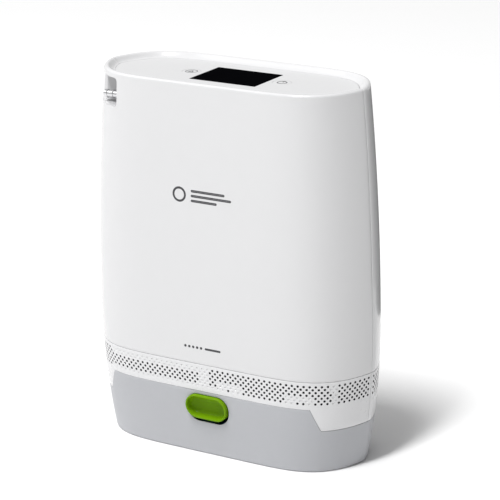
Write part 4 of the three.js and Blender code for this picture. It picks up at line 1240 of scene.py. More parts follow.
@dataclass
class Casing:
    """The glossy front and rear halves, with the rim round the sunken panel.

    screws is (X either side, low Z, high Z), socket is (X, Z, outer radius, bore), label is (X, Z, width,
    height), and well is a screw's hole as (radius, length outside, depth).
    """

    form: Form
    finishes: Finishes
    pocket: Pocket
    foot: float = 66.15
    top: float = 258.0
    wall: float = 2.5
    rim_round: float = 1.8
    land: float = 2.3
    slope: float = 4.9
    rim_depth: float = 3.6
    rim_foot: float = 9.0
    soft: float = 0.35
    gap: float = 0.12
    screws: tuple[float, float, float] = (74.0, 76.0, 226.0)
    socket: tuple[float, float, float, float] = (-58.0, 84.0, 6.4, 4.4)
    label: tuple[float, float, float, float] = (34.0, 138.0, 62.0, 74.0)
    film: tuple[float, float] = (-0.08, 0.6)
    film_steps: tuple[int, int] = (24, 12)
    well: tuple[float, float, float] = (3.5, 4.0, 1.4)
    fit: float = 0.15
    through: float = 9.0
    cup: tuple[float, float] = (9.5, 10.5)
    lip: float = 0.8
    ease: float = 0.3
    flare: float = 0.4
    pocket_gap: float = 0.03
    crown_steps: int = 12
    sharp: float = 35.0

    def rows(self) -> tuple[list, list, list]:
        """The wall's rows: the outer face, the rim over the top and the inner face.

        Returns:
            Three lists of (z, inset).
        """
        r, soft = self.rim_round, self.soft
        outer = [(self.foot + soft * (1 - math.cos(a)), soft * (1 - math.sin(a))) for a in quarter(3)]
        outer += [(z, 0.0) for z in lines(self.foot + 2, self.top - r - 1, 4.0, [])]
        outer += [(self.top - r + r * math.sin(a), r * (1 - math.cos(a))) for a in quarter(8)]
        shares = [i / self.crown_steps for i in range(self.crown_steps + 1)]
        falls = [share**1.5 * (2.5 - 1.5 * share) for share in shares]
        crown = [(self.top - self.rim_depth * f, self.land + self.slope * i) for f, i in zip(falls, shares)]
        inner_z = self.top - self.rim_foot
        inner = [(inner_z, self.land + self.slope), (inner_z, self.wall)]
        inner += [(z, self.wall) for z in reversed(lines(self.foot, inner_z - 4, 8.0, []))]
        return outer, crown, inner

    def half(self, half: Half, name: str) -> bpy.types.Object:
        """Builds one half of the casing.

        Args:
            half: Which one.
            name: Its name.

        Returns:
            The object.
        """
        reach = self.form.reach(half) - self.gap
        ends = [reach - share * self.soft for share in (0.0, 0.08, 0.3, 0.6, 1.0)]
        columns = lines(-reach, reach, 1.5, [side * end for end in ends for side in (-1, 1)])
        skin = Skin(self.form, half, columns, self.soft)
        return object_of(name, skin.build(name, *self.rows(), []), sharp=self.sharp)

    def build(self) -> None:
        """Builds both halves, the socket, the label and the screws."""
        front = self.half(Half.FRONT, "front_casing")
        carve(front, self.pocket.solid("pocket_cut", self.pocket_gap))
        shade(front, self.sharp)
        dress(front, Placed("main_unit", "white_shell", "gloss_white", ("front_shell",)), self.finishes)
        rear = self.half(Half.REAR, "rear_casing")
        back = Vector((0, -1, 0))
        bm = bmesh.new()
        x, z, outer, _ = self.socket
        cut, deep = outer + self.fit, self.through
        lathe(bm, [(0, -deep), (cut, -deep), (cut, deep), (0, deep)], facing(back, self.rear_spot(x, z)), 48)
        radius, out, deep = self.well
        for spot in self.screw_spots():
            lathe(bm, [(0, -out), (radius, -out), (radius, deep), (0, deep)], facing(back, spot), 32)
        carve(rear, object_of("rear_cut", bm))
        shade(rear, self.sharp)
        dress(rear, Placed("main_unit", "white_shell", "gloss_white", ("rear_shell",)), self.finishes)
        self.fittings()

    def rear_spot(self, x: float, z: float) -> Vector:
        """The place on the rear's outer face at an X and a height."""
        s = self.form.along(Half.REAR, x, z)
        return Vector(self.form.points(Half.REAR, np.array([s]), np.array([z]), np.array([0.0]))[0])

    def screw_spots(self) -> list[Vector]:
        """The four screws' places on the rear face."""
        x, low, high = self.screws
        return [self.rear_spot(side * x, z) for z in (low, high) for side in (-1, 1)]

    def fittings(self) -> None:
        """Builds the power socket with its pin, the blank label and the casing screws."""
        x, z, outer, bore = self.socket
        spot, back = self.rear_spot(x, z), Vector((0, -1, 0))
        floor, under = self.cup
        bm = bmesh.new()
        profile = [(0, under), (outer, under), (outer, self.lip + self.ease), (outer - self.ease, self.lip)]
        profile += [(bore + self.flare, self.lip), (bore, self.lip + self.flare), (bore, floor), (0, floor)]
        lathe(bm, profile, facing(back, spot), 48)
        socket = object_of("power_socket", bm)
        place = Placed("main_unit", "black_plastic", "moulded_black", ("dc_inlet_socket",))
        dress(socket, place, self.finishes)
        bm = bmesh.new()
        lathe(bm, list(PIN_PROFILE), facing(back, spot), 24)
        pin = object_of("power_pin", bm)
        dress(pin, Placed("main_unit", "brass", "turned_brass", ("dc_inlet_pin",)), self.finishes)
        self.label_film()
        shape = self.screw_head()
        upright = facing(back, Vector((0, 0, 0))).to_quaternion()
        spots = self.screw_spots()
        steel = self.finishes.get("drawn_steel")
        count = len(spots)
        heads = Scatter("casing_screws", (shape,), steel, steel).build(spots, [0] * count, [upright] * count)
        shade(heads, 30)
        names = tuple(f"shell_screw_{i + 1}" for i in range(count))
        dress(heads, Placed("main_unit", "steel", "drawn_steel", names), self.finishes)

    def label_film(self) -> None:
        """Builds the blank label as a thin film that follows the rear face."""
        x, z, wide, tall = self.label
        across, up = self.film_steps
        columns = [x - wide / 2 + wide * i / across for i in range(across + 1)]
        levels = [z - tall / 2 + tall * i / up for i in range(up + 1)]
        bm = bmesh.new()
        edges = []
        for inset, flip in zip(self.film, (False, True)):
            grid = []
            for level in levels:
                s = np.array([self.form.along(Half.REAR, column, level) for column in columns])
                height, deep = np.full(len(s), level), np.full(len(s), inset)
                places = self.form.points(Half.REAR, s, height, deep)
                grid.append([bm.verts.new(Vector(p) * MM) for p in places])
            for low, high in zip(grid, grid[1:]):
                for i in range(across):
                    quad = (low[i], low[i + 1], high[i + 1], high[i])
                    bm.faces.new(quad[::-1] if flip else quad)
            right, left = [row[-1] for row in grid[1:-1]], [row[0] for row in grid[-2:0:-1]]
            edges.append([*grid[0], *right, *reversed(grid[-1]), *left])
        bridge(bm, *edges)
        film = object_of("blank_label", bm)
        dress(film, Placed("main_unit", "label_grey", "label_film", ("rating_label",)), self.finishes)

    @staticmethod
    def screw_head() -> bpy.types.Object:
        """A recessed screw head with a six-lobed socket, its axis +Z into the body.

        Returns:
            The head at the origin.
        """
        bm = bmesh.new()
        sides, (core, swell, lobe_count) = 36, SCREW_LOBES
        turns = [2 * math.pi * i / sides for i in range(sides)]
        rings = []
        for radius, height in SCREW_PROFILE:
            around = turns if radius else turns[:1]
            spots = [Vector((radius * math.cos(t), radius * math.sin(t), height)) for t in around]
            rings.append([bm.verts.new(spot * MM) for spot in spots])
        for depth, grow in SCREW_RECESS:
            lobes = [grow * (core + swell * math.cos(lobe_count * t)) for t in turns]
            spots = [Vector((r * math.cos(t), r * math.sin(t), depth)) for r, t in zip(lobes, turns)]
            rings.append([bm.verts.new(spot * MM) for spot in spots])
        for low, high in zip(rings, rings[1:]):
            bridge(bm, low, high)
        bm.faces.new(rings[-1])
        return object_of("screw_head", bm)


@dataclass
class Panel:
    """The sunken control panel with its window and two keys.

    window is (width, depth, middle Y), key_well the depth of a key's hole, bed the glue gap under the glass,
    past how far a cutter stands over the plate, and the symbols' sizes are radii and heights on a key.
    """

    form: Form
    finishes: Finishes
    pocket: Pocket
    top: float = 254.4
    under: float = 250.2
    inset: float = 7.45
    window: tuple[float, float, float] = (50.2, 37.4, 1.9)
    glass_thick: float = 1.2
    key_x: float = 35.0
    key_y: float = 1.9
    key_r: float = 6.5
    key_thick: float = 1.6
    gap: float = 0.15
    bed: float = 0.3
    past: float = 3.0
    key_well: float = 2.6
    key_past: float = 2.0
    pocket_gap: float = 0.05
    edge: tuple[float, float] = (0.25, 50.0)
    glass_edge: float = 0.4
    glass_proud: float = 0.12
    stem: tuple[float, float] = (2.2, 4.2)
    key_edge: float = 0.35
    key_dish: tuple[float, float, float] = (0.6, 0.06, 0.1)
    print_span: tuple[float, float] = (-0.2, 0.02)
    alert: tuple[float, float, float] = (2.7, 1.4, -0.4)
    alert_ring: tuple[float, float] = (4.3, 3.7)
    power_ring: tuple[float, float] = (3.5, 2.8)
    power_bar: tuple[float, float, float] = (0.4, 1.0, 4.3)
    power_slit: tuple[float, float, float] = (0.01, 1.2, 4.0)

    def build(self) -> None:
        """Builds the plate, the glass and both keys."""
        plate = self.form.solid("control_plate", self.under, self.top, self.inset)
        wide, tall, middle = self.window
        half, deep = wide / 2 + self.gap, tall / 2 + self.gap
        low = (-half, middle - deep, self.top - self.glass_thick - self.bed)
        carve(plate, block("glass_bed", low, (half, middle + deep, self.top + self.past), 0))
        bm = bmesh.new()
        for side in (-1, 1):
            r, low, high = self.key_r + self.gap, self.top - self.key_well, self.top + self.key_past
            place = Matrix.Translation((side * self.key_x, self.key_y, 0))
            lathe(bm, [(0, low), (r, low), (r, high), (0, high)], place, 64)
        carve(plate, object_of("key_holes", bm))
        carve(plate, self.pocket.solid("panel_cut", self.pocket_gap))
        soften(plate, *self.edge)
        dress(plate, Placed("main_unit", "panel_white", "panel_satin", ("control_panel",)), self.finishes)
        low = (-wide / 2, middle - tall / 2, self.top - self.glass_thick)
        high = (wide / 2, middle + tall / 2, self.top + self.glass_proud)
        glass = block("display_glass", low, high, self.glass_edge)
        dress(glass, Placed("main_unit", "black_glass", "window_black", ("display_window",)), self.finishes)
        self.key("alert_key", -1)
        self.key("power_key", 1)

    def key(self, body: str, side: int) -> None:
        """Builds a key with its printed symbol.

        Args:
            body: The key's body and node.
            side: -1 for the left and 1 for the right.
        """
        bm = bmesh.new()
        place = Matrix.Translation((side * self.key_x, self.key_y, 0))
        foot, r, soft = self.top - self.key_thick, self.key_r, self.key_edge
        stem, length = self.stem
        share, drop, deepest = self.key_dish
        profile = [(0, foot - length), (stem, foot - length), (stem, foot), (r, foot)]
        turns = [(1 - math.cos(a), 1 - math.sin(a)) for a in quarter(4)]
        profile += [(r - soft * away, self.top - soft * fall) for away, fall in turns]
        profile += [(r * share, self.top - drop), (0, self.top - deepest)]
        lathe(bm, profile, place, 64)
        cap = object_of(f"{body}_cap", bm)
        cap.data.materials.append(self.finishes.get("panel_satin"))
        symbol = self.triangle(side * self.key_x) if side < 0 else self.ring(side * self.key_x)
        symbol.data.materials.append(self.finishes.get("icon_grey"))
        whole = joined(f"{body}_piece", [cap, symbol])
        dress(whole, Placed(body, "panel_white", "panel_satin", (body,)), self.finishes)

    def flat(self, name: str, loops: list[tuple[list, list]], x: float) -> bpy.types.Object:
        """A thin printed shape of closed bands on a key.

        Args:
            name: Its name.
            loops: (outer, inner) outlines of equal length about the key's middle.
            x: The key's X.

        Returns:
            The object.
        """
        bm = bmesh.new()
        low, high = (self.top + level for level in self.print_span)
        for outer, inner in loops:
            rings = []
            for outline, z in ((outer, low), (outer, high), (inner, high), (inner, low)):
                rings.append([bm.verts.new(Vector((x + px, self.key_y + py, z)) * MM) for px, py in outline])
            for one, two in zip(rings, [*rings[1:], rings[0]]):
                bridge(bm, one, two)
        return object_of(name, bm)

    def triangle(self, x: float) -> bpy.types.Object:
        """The alert key's symbol: a triangle in a ring."""
        corners = [math.radians(90 + 120 * i) for i in range(3)]
        outer, inner, rise = self.alert
        band = tuple([(r * math.cos(a), r * math.sin(a) + rise) for a in corners] for r in (outer, inner))
        return self.flat("alert_symbol", [band, self.circle(*self.alert_ring)], x)

    def ring(self, x: float) -> bpy.types.Object:
        """The power key's symbol: a ring with a bar at its top."""
        bar, slit = (
            [(-half, low), (half, low), (half, high), (-half, high)]
            for half, low, high in (self.power_bar, self.power_slit)
        )
        return self.flat("power_symbol", [self.circle(*self.power_ring), (bar, slit)], x)

    @staticmethod
    def circle(outer: float, inner: float) -> tuple[list, list]:
        """A ring's outer and inner outlines."""
        turns = [2 * math.pi * i / 48 for i in range(48)]
        return tuple([(r * math.cos(t), r * math.sin(t)) for t in turns] for r in (outer, inner))


@dataclass
class Band:
    """The white band below the casing: rows of small holes, and a plain skirt round the battery's tab.

    skin is a hole's depth, dimple a blind one's, split the facets along a cell's side, and tab is the notch
    over the battery's tab as (half its top, half its foot, height).
    """

    form: Form
    finishes: Finishes
    top: float = 65.95
    foot: float = 30.8
    wall: float = 2.5
    skin: float = 0.9
    soft: float = 0.16
    rows: int = 7
    low_row: float = 50.7
    pitch: tuple[float, float] = (2.03, 2.05)
    hole: float = 0.85
    facets: int = 12
    split: int = 4
    dimple: float = 0.45
    lip: float = 0.08
    blind_lip: float = 0.05
    blind_steps: tuple[tuple[float, float], ...] = ((0.8, 0.7), (0.4, 1.0))
    weld: float = 0.02
    rear_middle: float = 60.0
    end_step: float = 0.6
    steps: int = 5
    sharp: float = 35.0
    tab: tuple[float, float, float] = (76.38, 83.4, 46.5)
    gap: float = 0.12

    def open_at(self, x: float, z: float, half: Half) -> Cell:
        """Whether the hole at a place is pierced or only a dimple.

        Args:
            x: The hole's X.
            z: Its height.
            half: The half it is on.

        Returns:
            The cell's kind.
        """
        row = round((self.low_row + (self.rows - 1) * self.pitch[1] - z) / self.pitch[1]) + 1
        if half is Half.REAR:
            return Cell.OPEN if 1 < row < self.rows or abs(x) > self.rear_middle else Cell.BLIND
        pierced = any(low <= x < high and row in rows for low, high, rows in OPEN_ROWS)
        pierced |= any(row == lone and abs(x - at) < self.pitch[0] for at, lone in LONE_HOLES)
        return Cell.OPEN if pierced else Cell.BLIND

    def cell(self, kind: Cell) -> bpy.types.Object:
        """One cell of the wall, flat, with X along the plan, Y up and Z inwards.

        Args:
            kind: What it holds.

        Returns:
            The object.
        """
        bm = bmesh.new()
        # flags the hole faces that take the near-black painted shade
        backing = bm.faces.layers.bool.new("backing")
        wide, tall = self.pitch
        marks = [wide * (i / self.split - 0.5) for i in range(self.split + 1)]
        outline = [(m, -tall / 2) for m in marks] + [(m, tall / 2) for m in reversed(marks)]
        turns = [2 * math.pi * (i + 0.5) / self.facets - 3 * math.pi / 4 for i in range(self.facets)]

        def ring(points: list, depth: float) -> list:
            """Adds a ring of vertices at a depth."""
            return [bm.verts.new(Vector((x, y, depth)) * MM) for x, y in points]

        def circle(radius: float) -> list:
            """Points round a circle about the cell's middle."""
            return [(radius * math.cos(t), radius * math.sin(t)) for t in turns]

        if kind is Cell.PLAIN:
            bm.faces.new(ring(outline, 0))
            bm.faces.new(reversed(ring(outline, self.wall)))
        elif kind is Cell.OPEN:
            steps = [(self.hole + self.lip, 0.0), (self.hole, self.lip), (self.hole, self.skin)]
            rings = [ring(outline, 0)] + [ring(circle(r), d) for r, d in steps]
            Skin.zip_rings(bm, rings[0], rings[1])
            bridge(bm, rings[1], rings[2])
            smooth = len(bm.faces)
            # the hole's wall below its lip and its floor are flagged: their near-black paints the shade in
            # the hole
            bridge(bm, rings[2], rings[3])
            bm.faces.new(rings[3])
            bm.faces.ensure_lookup_table()
            for face in bm.faces[smooth:]:
                face[backing] = True
            bm.faces.new(reversed(ring(outline, self.wall)))
        else:
            steps = [(self.hole + self.blind_lip, 0.0)]
            steps += [(self.hole * share, self.dimple * deep) for share, deep in self.blind_steps]
            rings = [ring(outline, 0)] + [ring(circle(r), d) for r, d in steps]
            Skin.zip_rings(bm, rings[0], rings[1])
            bridge(bm, rings[1], rings[2])
            bridge(bm, rings[2], rings[3])
            bm.faces.new(rings[3])
            bm.faces.new(reversed(ring(outline, self.wall)))
        return object_of(f"cell_{kind.name.lower()}", bm, recalc=False)

    def half(self, half: Half, name: str, node: str) -> None:
        """Builds one half of the band.

        Args:
            half: Which half.
            name: Its name.
            node: The CAD node it stands for.
        """
        reach = self.form.reach(half) - self.gap
        count = 2 * int(reach / self.pitch[0]) - 1
        left = -count / 2 * self.pitch[0]
        spots, kinds = [], []
        for i in range(count):
            for j in range(self.rows):
                s, z = left + (i + 0.5) * self.pitch[0], self.low_row + j * self.pitch[1]
                spots.append(Vector((s, z, 0)))
                x = float(self.form.points(half, np.array([s]), np.array([z]), np.array([0.0]))[0][0])
                kinds.append(self.open_at(x, z, half).value if (i + j) % 2 == 0 else Cell.PLAIN.value)
        shapes = tuple(self.cell(kind) for kind in Cell)
        turns = [(1.0, 0.0, 0.0, 0.0)] * len(spots)
        # the second material is near-black paint for the shade inside the open holes
        finish, mesh = self.finishes.get("band_white"), self.finishes.get("vent_mesh")
        scatter = Scatter(f"{name}_cells", shapes, finish, mesh, weld=self.weld * MM)
        cells = scatter.build(spots, kinds, turns)
        strips = self.strips(half, name, reach, left, count)
        strips.data.materials.append(finish)
        band = joined(name, [cells, strips])
        bm = bmesh.new()
        bm.from_mesh(band.data)
        bmesh.ops.remove_doubles(bm, verts=bm.verts, dist=self.weld * MM)
        flat = np.array([vert.co for vert in bm.verts]) / MM
        room = np.minimum(flat[:, 0] + reach, reach - flat[:, 0])
        soft = np.clip(self.soft - room, 0, self.soft)
        round_in = self.soft - np.sqrt(np.maximum(self.soft**2 - soft**2, 0))
        inset = flat[:, 2] + np.where(flat[:, 2] < self.wall / 2, round_in, 0)
        for vert, place in zip(bm.verts, self.form.points(half, flat[:, 0], flat[:, 1], inset)):
            vert.co = Vector(place) * MM
        bmesh.ops.recalc_face_normals(bm, faces=bm.faces)
        bm.to_mesh(band.data)
        bm.free()
        shade(band, self.sharp)
        dress(band, Placed("main_unit", "white_band", "band_white", (node,)), self.finishes)

    def foot_at(self, half: Half, s: float) -> float:
        """The height of the wall's lower edge, which rises over the battery's tab."""
        if half is Half.REAR:
            return self.foot
        place = self.form.points(half, np.array([s]), np.array([self.foot]), np.array([0.0]))[0]
        narrow, wide, high = self.tab
        share = (wide - abs(float(place[0]))) / (wide - narrow)
        return self.foot + (high - self.foot) * min(max(share, 0.0), 1.0)

    def strips(self, half: Half, name: str, reach: float, left: float, count: int) -> bpy.types.Object:
        """The plain parts round the cells, flat like them.

        Args:
            half: Which half.
            name: The band's name.
            reach: Half its length.
            left: Where the cells begin.
            count: How many columns of cells there are.

        Returns:
            The object.
        """
        fine = [left + self.pitch[0] * i / self.split for i in range(count * self.split + 1)]
        ends = [reach - share * self.soft for share in (0.0, 0.1, 0.35, 0.65, 1.0)]
        outside = list(lines(-reach, left, self.end_step, [-end for end in ends]))
        columns = [*outside[:-1], *fine, *[-s for s in reversed(outside[:-1])]]
        low_edge = self.low_row - self.pitch[1] / 2
        high_edge = low_edge + self.rows * self.pitch[1]
        soft = [(self.soft * (1 - math.cos(a)), self.soft * (1 - math.sin(a))) for a in quarter(3)]
        bm = bmesh.new()
        grid = []
        for s in columns:
            foot = self.foot_at(half, s)
            span = low_edge - foot - self.soft
            lower = [(foot + dz, depth) for dz, depth in soft]
            lower += [(foot + self.soft + span * i / self.steps, 0.0) for i in range(1, self.steps + 1)]
            middle = [(low_edge + self.pitch[1] * j, 0.0) for j in range(1, self.rows)]
            upper = [(high_edge, 0.0), ((high_edge + self.top - self.soft) / 2, 0.0)]
            upper += [(self.top - dz, depth) for dz, depth in reversed(soft)]
            outer = [*lower, *middle, *upper]
            back = [(self.top, self.wall)]
            back += [(low_edge + self.pitch[1] * j, self.wall) for j in range(self.rows, -1, -1)]
            back += [(foot, self.wall)]
            grid.append([bm.verts.new(Vector((s, z, d)) * MM) for z, d in [*outer, *back]])
        size, first = len(grid[0]), len(lower) - 1
        cells = range(first, first + self.rows)
        behind = range(len(outer) + 1, len(outer) + 1 + self.rows)
        start = len(outside) - 1
        for i, (one, two) in enumerate(zip(grid, grid[1:])):
            within = start <= i < start + count * self.split
            for k in range(size):
                if within and (k in cells or k in behind):
                    continue
                following = (k + 1) % size
                bm.faces.new((one[k], two[k], two[following], one[following]))
        bm.faces.new(grid[0])
        bm.faces.new(grid[-1])
        return object_of(f"{name}_strips", bm, recalc=False)

    def build(self) -> None:
        """Builds both halves."""
        self.half(Half.FRONT, "front_band", "lower_band_front")
        self.half(Half.REAR, "rear_band", "lower_band_rear")


@dataclass
class Battery:
    """The battery pack's satin casing with its tab, and the glossy release button.

    tab is (half its top, half its foot, height), button is (X, Z, half its width, radius), and play is the
    gap round the button as (all round, more on the right, more below).
    """

    form: Form
    finishes: Finishes
    deck: float = 30.5
    tab: tuple[float, float, float] = (76.3, 83.3, 46.4)
    wall: float = 2.5
    foot_round: float = 0.9
    edge: float = 0.14
    lid: float = 46.0
    plug_inset: float = 3.1
    plug_wall: float = 2.3
    button: tuple[float, float, float, float] = (0.5, 35.2, 16.2, 8.6)
    proud: float = 2.4
    back: float = 6.0
    play: tuple[float, float, float] = (0.3, 0.5, 1.15)
    draft: float = 1.5
    scoop: float = 0.32
    level_top: float = 22.0
    under_button: float = 18.0
    rows: int = 12
    steps: tuple[float, float] = (0.6, 1.5)
    turn: tuple[float, float] = (1.0, 1.5)
    floor_run: float = 6.0
    floor_lap: float = 5.5
    plug_level: float = 30.8
    plug_ease: tuple[float, float] = (0.4, 0.5)
    ledge: tuple[float, float, float] = (1.0, 2.0, 0.02)
    button_lip: float = 0.3
    cut_span: tuple[float, float] = (-60.0, -20.0)
    shoulder: float = 0.8
    dish: tuple[float, float] = (8.4, 1.8)
    weld: float = 0.005
    sharp: float = 35.0

    def top_at(self, half: Half, s: float) -> float:
        """The height of the casing's upper edge, which rises in the tab."""
        if half is Half.REAR:
            return self.deck
        place = self.form.points(half, np.array([s]), np.array([self.deck]), np.array([0.0]))[0]
        narrow, wide, high = self.tab
        share = (wide - abs(float(place[0]))) / (wide - narrow)
        return self.deck + (high - self.deck) * min(max(share, 0.0), 1.0)

    def half(self, half: Half) -> bpy.types.Object:
        """Builds one half of the casing, open where it meets the other.

        Args:
            half: Which half.

        Returns:
            The object.
        """
        reach, r, e = self.form.reach(half), self.foot_round, self.edge
        front_step, rear_step = self.steps
        step = front_step if half is Half.FRONT else rear_step
        base, (rise, run) = self.level_top, self.turn
        skin = Skin(self.form, half, lines(-reach, reach, step, []), 0.0, False)
        outer = [(r * (1 - math.cos(a)), r * (1 - math.sin(a))) for a in quarter(8)]
        outer += [(z, 0.0) for z in lines(r + 1.2, base, 2.0, [])]
        for i in range(1, self.rows + 1):
            share = i / self.rows
            outer.append(lambda s, share=share: (base + (self.top_at(half, s) - e - base) * share, 0.0))
        crown = [
            lambda s, a=a: (self.top_at(half, s) - e + e * math.sin(a), e * (1 - math.cos(a)))
            for a in quarter(3)[1:]
        ]
        inner = [lambda s: (self.top_at(half, s), self.wall), (self.deck - self.wall, self.wall)]
        inner += [(self.under_button, self.wall), (self.wall + rise, self.wall)]
        inner += [(self.wall, self.wall + run)]
        inner += [(self.wall, r + self.floor_run), (0.0, r + self.floor_run)]
        openings = []
        if half is Half.FRONT:
            x, z, wide, radius = self.button
            gap, right, under = self.play
            size = (wide + gap + right, radius + gap + under, radius + gap + right)
            openings.append(Opening(x + right, z - under, *size, lip=self.button_lip, draft=self.draft))
        wall = skin.build(f"battery {half.name}", outer, crown, inner, openings)
        return object_of("casing_half", wall, sharp=self.sharp)

    def build(self) -> None:
        """Builds the casing and the button."""
        halves = [self.half(half) for half in Half]
        bm = bmesh.new()
        ring = self.form.outline(0.0, self.foot_round + self.floor_lap)
        stack(bm, [[Vector((x, y, z)) for x, y in ring] for z in (0.0, self.wall)])
        plate = object_of("casing_floor", bm)
        bm = bmesh.new()
        rings = []
        ledge_inset, ledge_thick, ledge_drop = self.ledge
        foot, ease, wall = self.deck - ledge_thick, self.plug_ease[0] * self.plug_ease[1], self.plug_wall
        for inset, height in ((0, foot), (0, self.lid), (ease, self.lid), (wall, self.lid), (wall, foot)):
            outline = self.form.outline(self.plug_level, self.plug_inset + inset)
            rings.append([bm.verts.new(Vector((x, y, height)) * MM) for x, y in outline])
        for low, high in zip(rings, [*rings[1:], rings[0]]):
            bridge(bm, low, high)
        plug = object_of("casing_plug", bm)
        bm = bmesh.new()
        middle = self.deck - ledge_thick / 2
        outer = self.form.outline(middle, ledge_inset)
        inner = self.form.outline(middle, self.plug_inset + self.plug_wall)
        low, high = foot, self.deck - ledge_drop
        rings = [
            [bm.verts.new(Vector((x, y, z)) * MM) for x, y in ring]
            for ring, z in ((outer, low), (outer, high), (inner, high), (inner, low))
        ]
        for one, two in zip(rings, [*rings[1:], rings[0]]):
            bridge(bm, one, two)
        ledge = object_of("casing_ledge", bm)
        self.cut_button(plug)
        self.cut_button(ledge)
        casing = joined("battery_casing", [*halves, plate, plug, ledge])
        bm = bmesh.new()
        bm.from_mesh(casing.data)
        bmesh.ops.remove_doubles(bm, verts=bm.verts, dist=self.weld * MM)
        bm.to_mesh(casing.data)
        bm.free()
        shade(casing, self.sharp)
        place = Placed("battery_pack", "grey_case", "battery_grey", ("battery_case",))
        dress(casing, place, self.finishes)
        self.release_button()

    def cut_button(self, piece: bpy.types.Object) -> None:
        """Cuts the button's hole through a piece."""
        x, z, wide, radius = self.button
        gap, right, under = self.play
        outline = stadium(wide + gap + right + self.draft, radius + gap + under + self.draft, 12)
        bm = bmesh.new()
        x, z = x + right, z - under
        stack(bm, [[Vector((x + px, y, z + pz)) for px, pz in outline] for y in self.cut_span])
        carve(piece, object_of("button_cut", bm))

    def release_button(self) -> None:
        """Builds the button: a raised rim round a shallow dish."""
        x, z, wide, radius = self.button
        round_out, crest = self.shoulder, BUTTON_SLOPE[2][0]
        edge, drop = BUTTON_SLOPE[-1]
        middle, sag = self.dish
        profile = [(0.0, -self.back), (0.0, self.proud - round_out - 0.1)]
        turns = [(1 - math.cos(a), 1 - math.sin(a)) for a in quarter(5)]
        profile += [(round_out * away, self.proud - round_out * fall) for away, fall in turns]
        profile += [(offset, self.proud - fall) for offset, fall in BUTTON_SLOPE]
        for offset in BUTTON_FLOOR:
            share = 1 - ((middle - offset) / (middle - edge)) ** 2
            profile.append((offset, self.proud - drop - sag * share))
        bm = bmesh.new()
        rings = []
        for offset, out in profile:
            outline = stadium(wide, radius, 28)
            flat = wide - radius
            ring = []
            for px, pz in outline:
                core = min(max(px, -flat), flat)
                share = (radius - offset) / radius
                lift = self.scoop * max(0.0, offset - crest)
                spot_x, spot_z = core + (px - core) * share, pz * share + lift
                deep = float(self.form.deep(np.array(z + spot_z)))
                ring.append(bm.verts.new(Vector((x + spot_x, -deep - out, z + spot_z)) * MM))
            rings.append(ring)
        for one, two in zip(rings, rings[1:]):
            bridge(bm, one, two)
        bm.faces.new(rings[0])
        bm.faces.new(rings[-1])
        button = object_of("release_button_cap", bm, sharp=40)
        place = Placed("release_latch", "green_button", "button_green", ("release_button",))
        dress(button, place, self.finishes)


@dataclass
class FrontMark:
    """Two small generic printed marks on the casing's front: a ring with three bars, and dots with a bar.

    Every place is (X, Z) and lies about its mark's own middle.
    """

    form: Form
    finishes: Finishes
    middle: tuple[float, float] = (-0.6, 183.0)
    low: tuple[float, float] = (-1.1, 77.8)
    lift: float = 0.03
    sunk: float = 0.4
    ring_at: float = -17.0
    ring: tuple[float, float] = (5.2, 3.7)
    bars_at: tuple[float, float] = (-8.0, 0.9)
    bar_round: float = 0.85
    bar_core: float = 0.05
    dots: tuple[float, float, float] = (-13.5, 3.1, 0.95)
    dot_count: int = 5
    dash: tuple[float, float, float] = (8.0, 6.2, 0.75)
    weld: float = 0.001

    def build(self) -> None:
        """Builds the mark as thin closed films that lie on the front face."""
        bm = bmesh.new()
        x, z = self.middle
        turns = [2 * math.pi * i / 40 for i in range(40)]
        left = x + self.ring_at
        rings = [[(left + r * math.cos(t), z + r * math.sin(t)) for t in turns] for r in self.ring]
        self.film(bm, *rings)
        inner = self.bar_round - self.bar_core
        for foot, length in MARK_BARS:
            half = length / 2
            at, level = x + self.bars_at[0] + half, z + foot + self.bars_at[1]
            bar = [(at + px, level + pz) for px, pz in stadium(half, self.bar_round, 8)]
            core = [(at + px, level + pz) for px, pz in stadium(half - inner, self.bar_core, 8)]
            self.film(bm, bar, core)
        x, z = self.low
        start, pitch, radius = self.dots
        for i in range(self.dot_count):
            at = x + start + pitch * i
            ring = [(at + radius * math.cos(t), z + radius * math.sin(t)) for t in turns]
            self.film(bm, ring, [(at, z)] * len(ring))
        along, half, radius = self.dash
        bar = [(x + along + px, z + pz) for px, pz in stadium(half, radius, 8)]
        self.film(bm, bar, [(x + along, z)] * len(bar))
        bmesh.ops.remove_doubles(bm, verts=bm.verts, dist=self.weld * MM)
        mark = object_of("front_mark", bm)
        dress(mark, Placed("main_unit", "black_plastic", "mark_ink"), self.finishes)

    def film(self, bm: bmesh.types.BMesh, outer: list, inner: list) -> None:
        """Adds one thin closed band.

        Args:
            bm: The mesh to add to.
            outer: Its outer outline as (x, z).
            inner: Its inner outline, of equal length.
        """
        rings = []
        corners = ((outer, -self.sunk), (outer, self.lift), (inner, self.lift), (inner, -self.sunk))
        for outline, lift in corners:
            ring = []
            for px, pz in outline:
                deep = float(self.form.deep(np.array(pz)))
                ring.append(bm.verts.new(Vector((px, -deep - lift, pz)) * MM))
            rings.append(ring)
        for one, two in zip(rings, [*rings[1:], rings[0]]):
            bridge(bm, one, two)


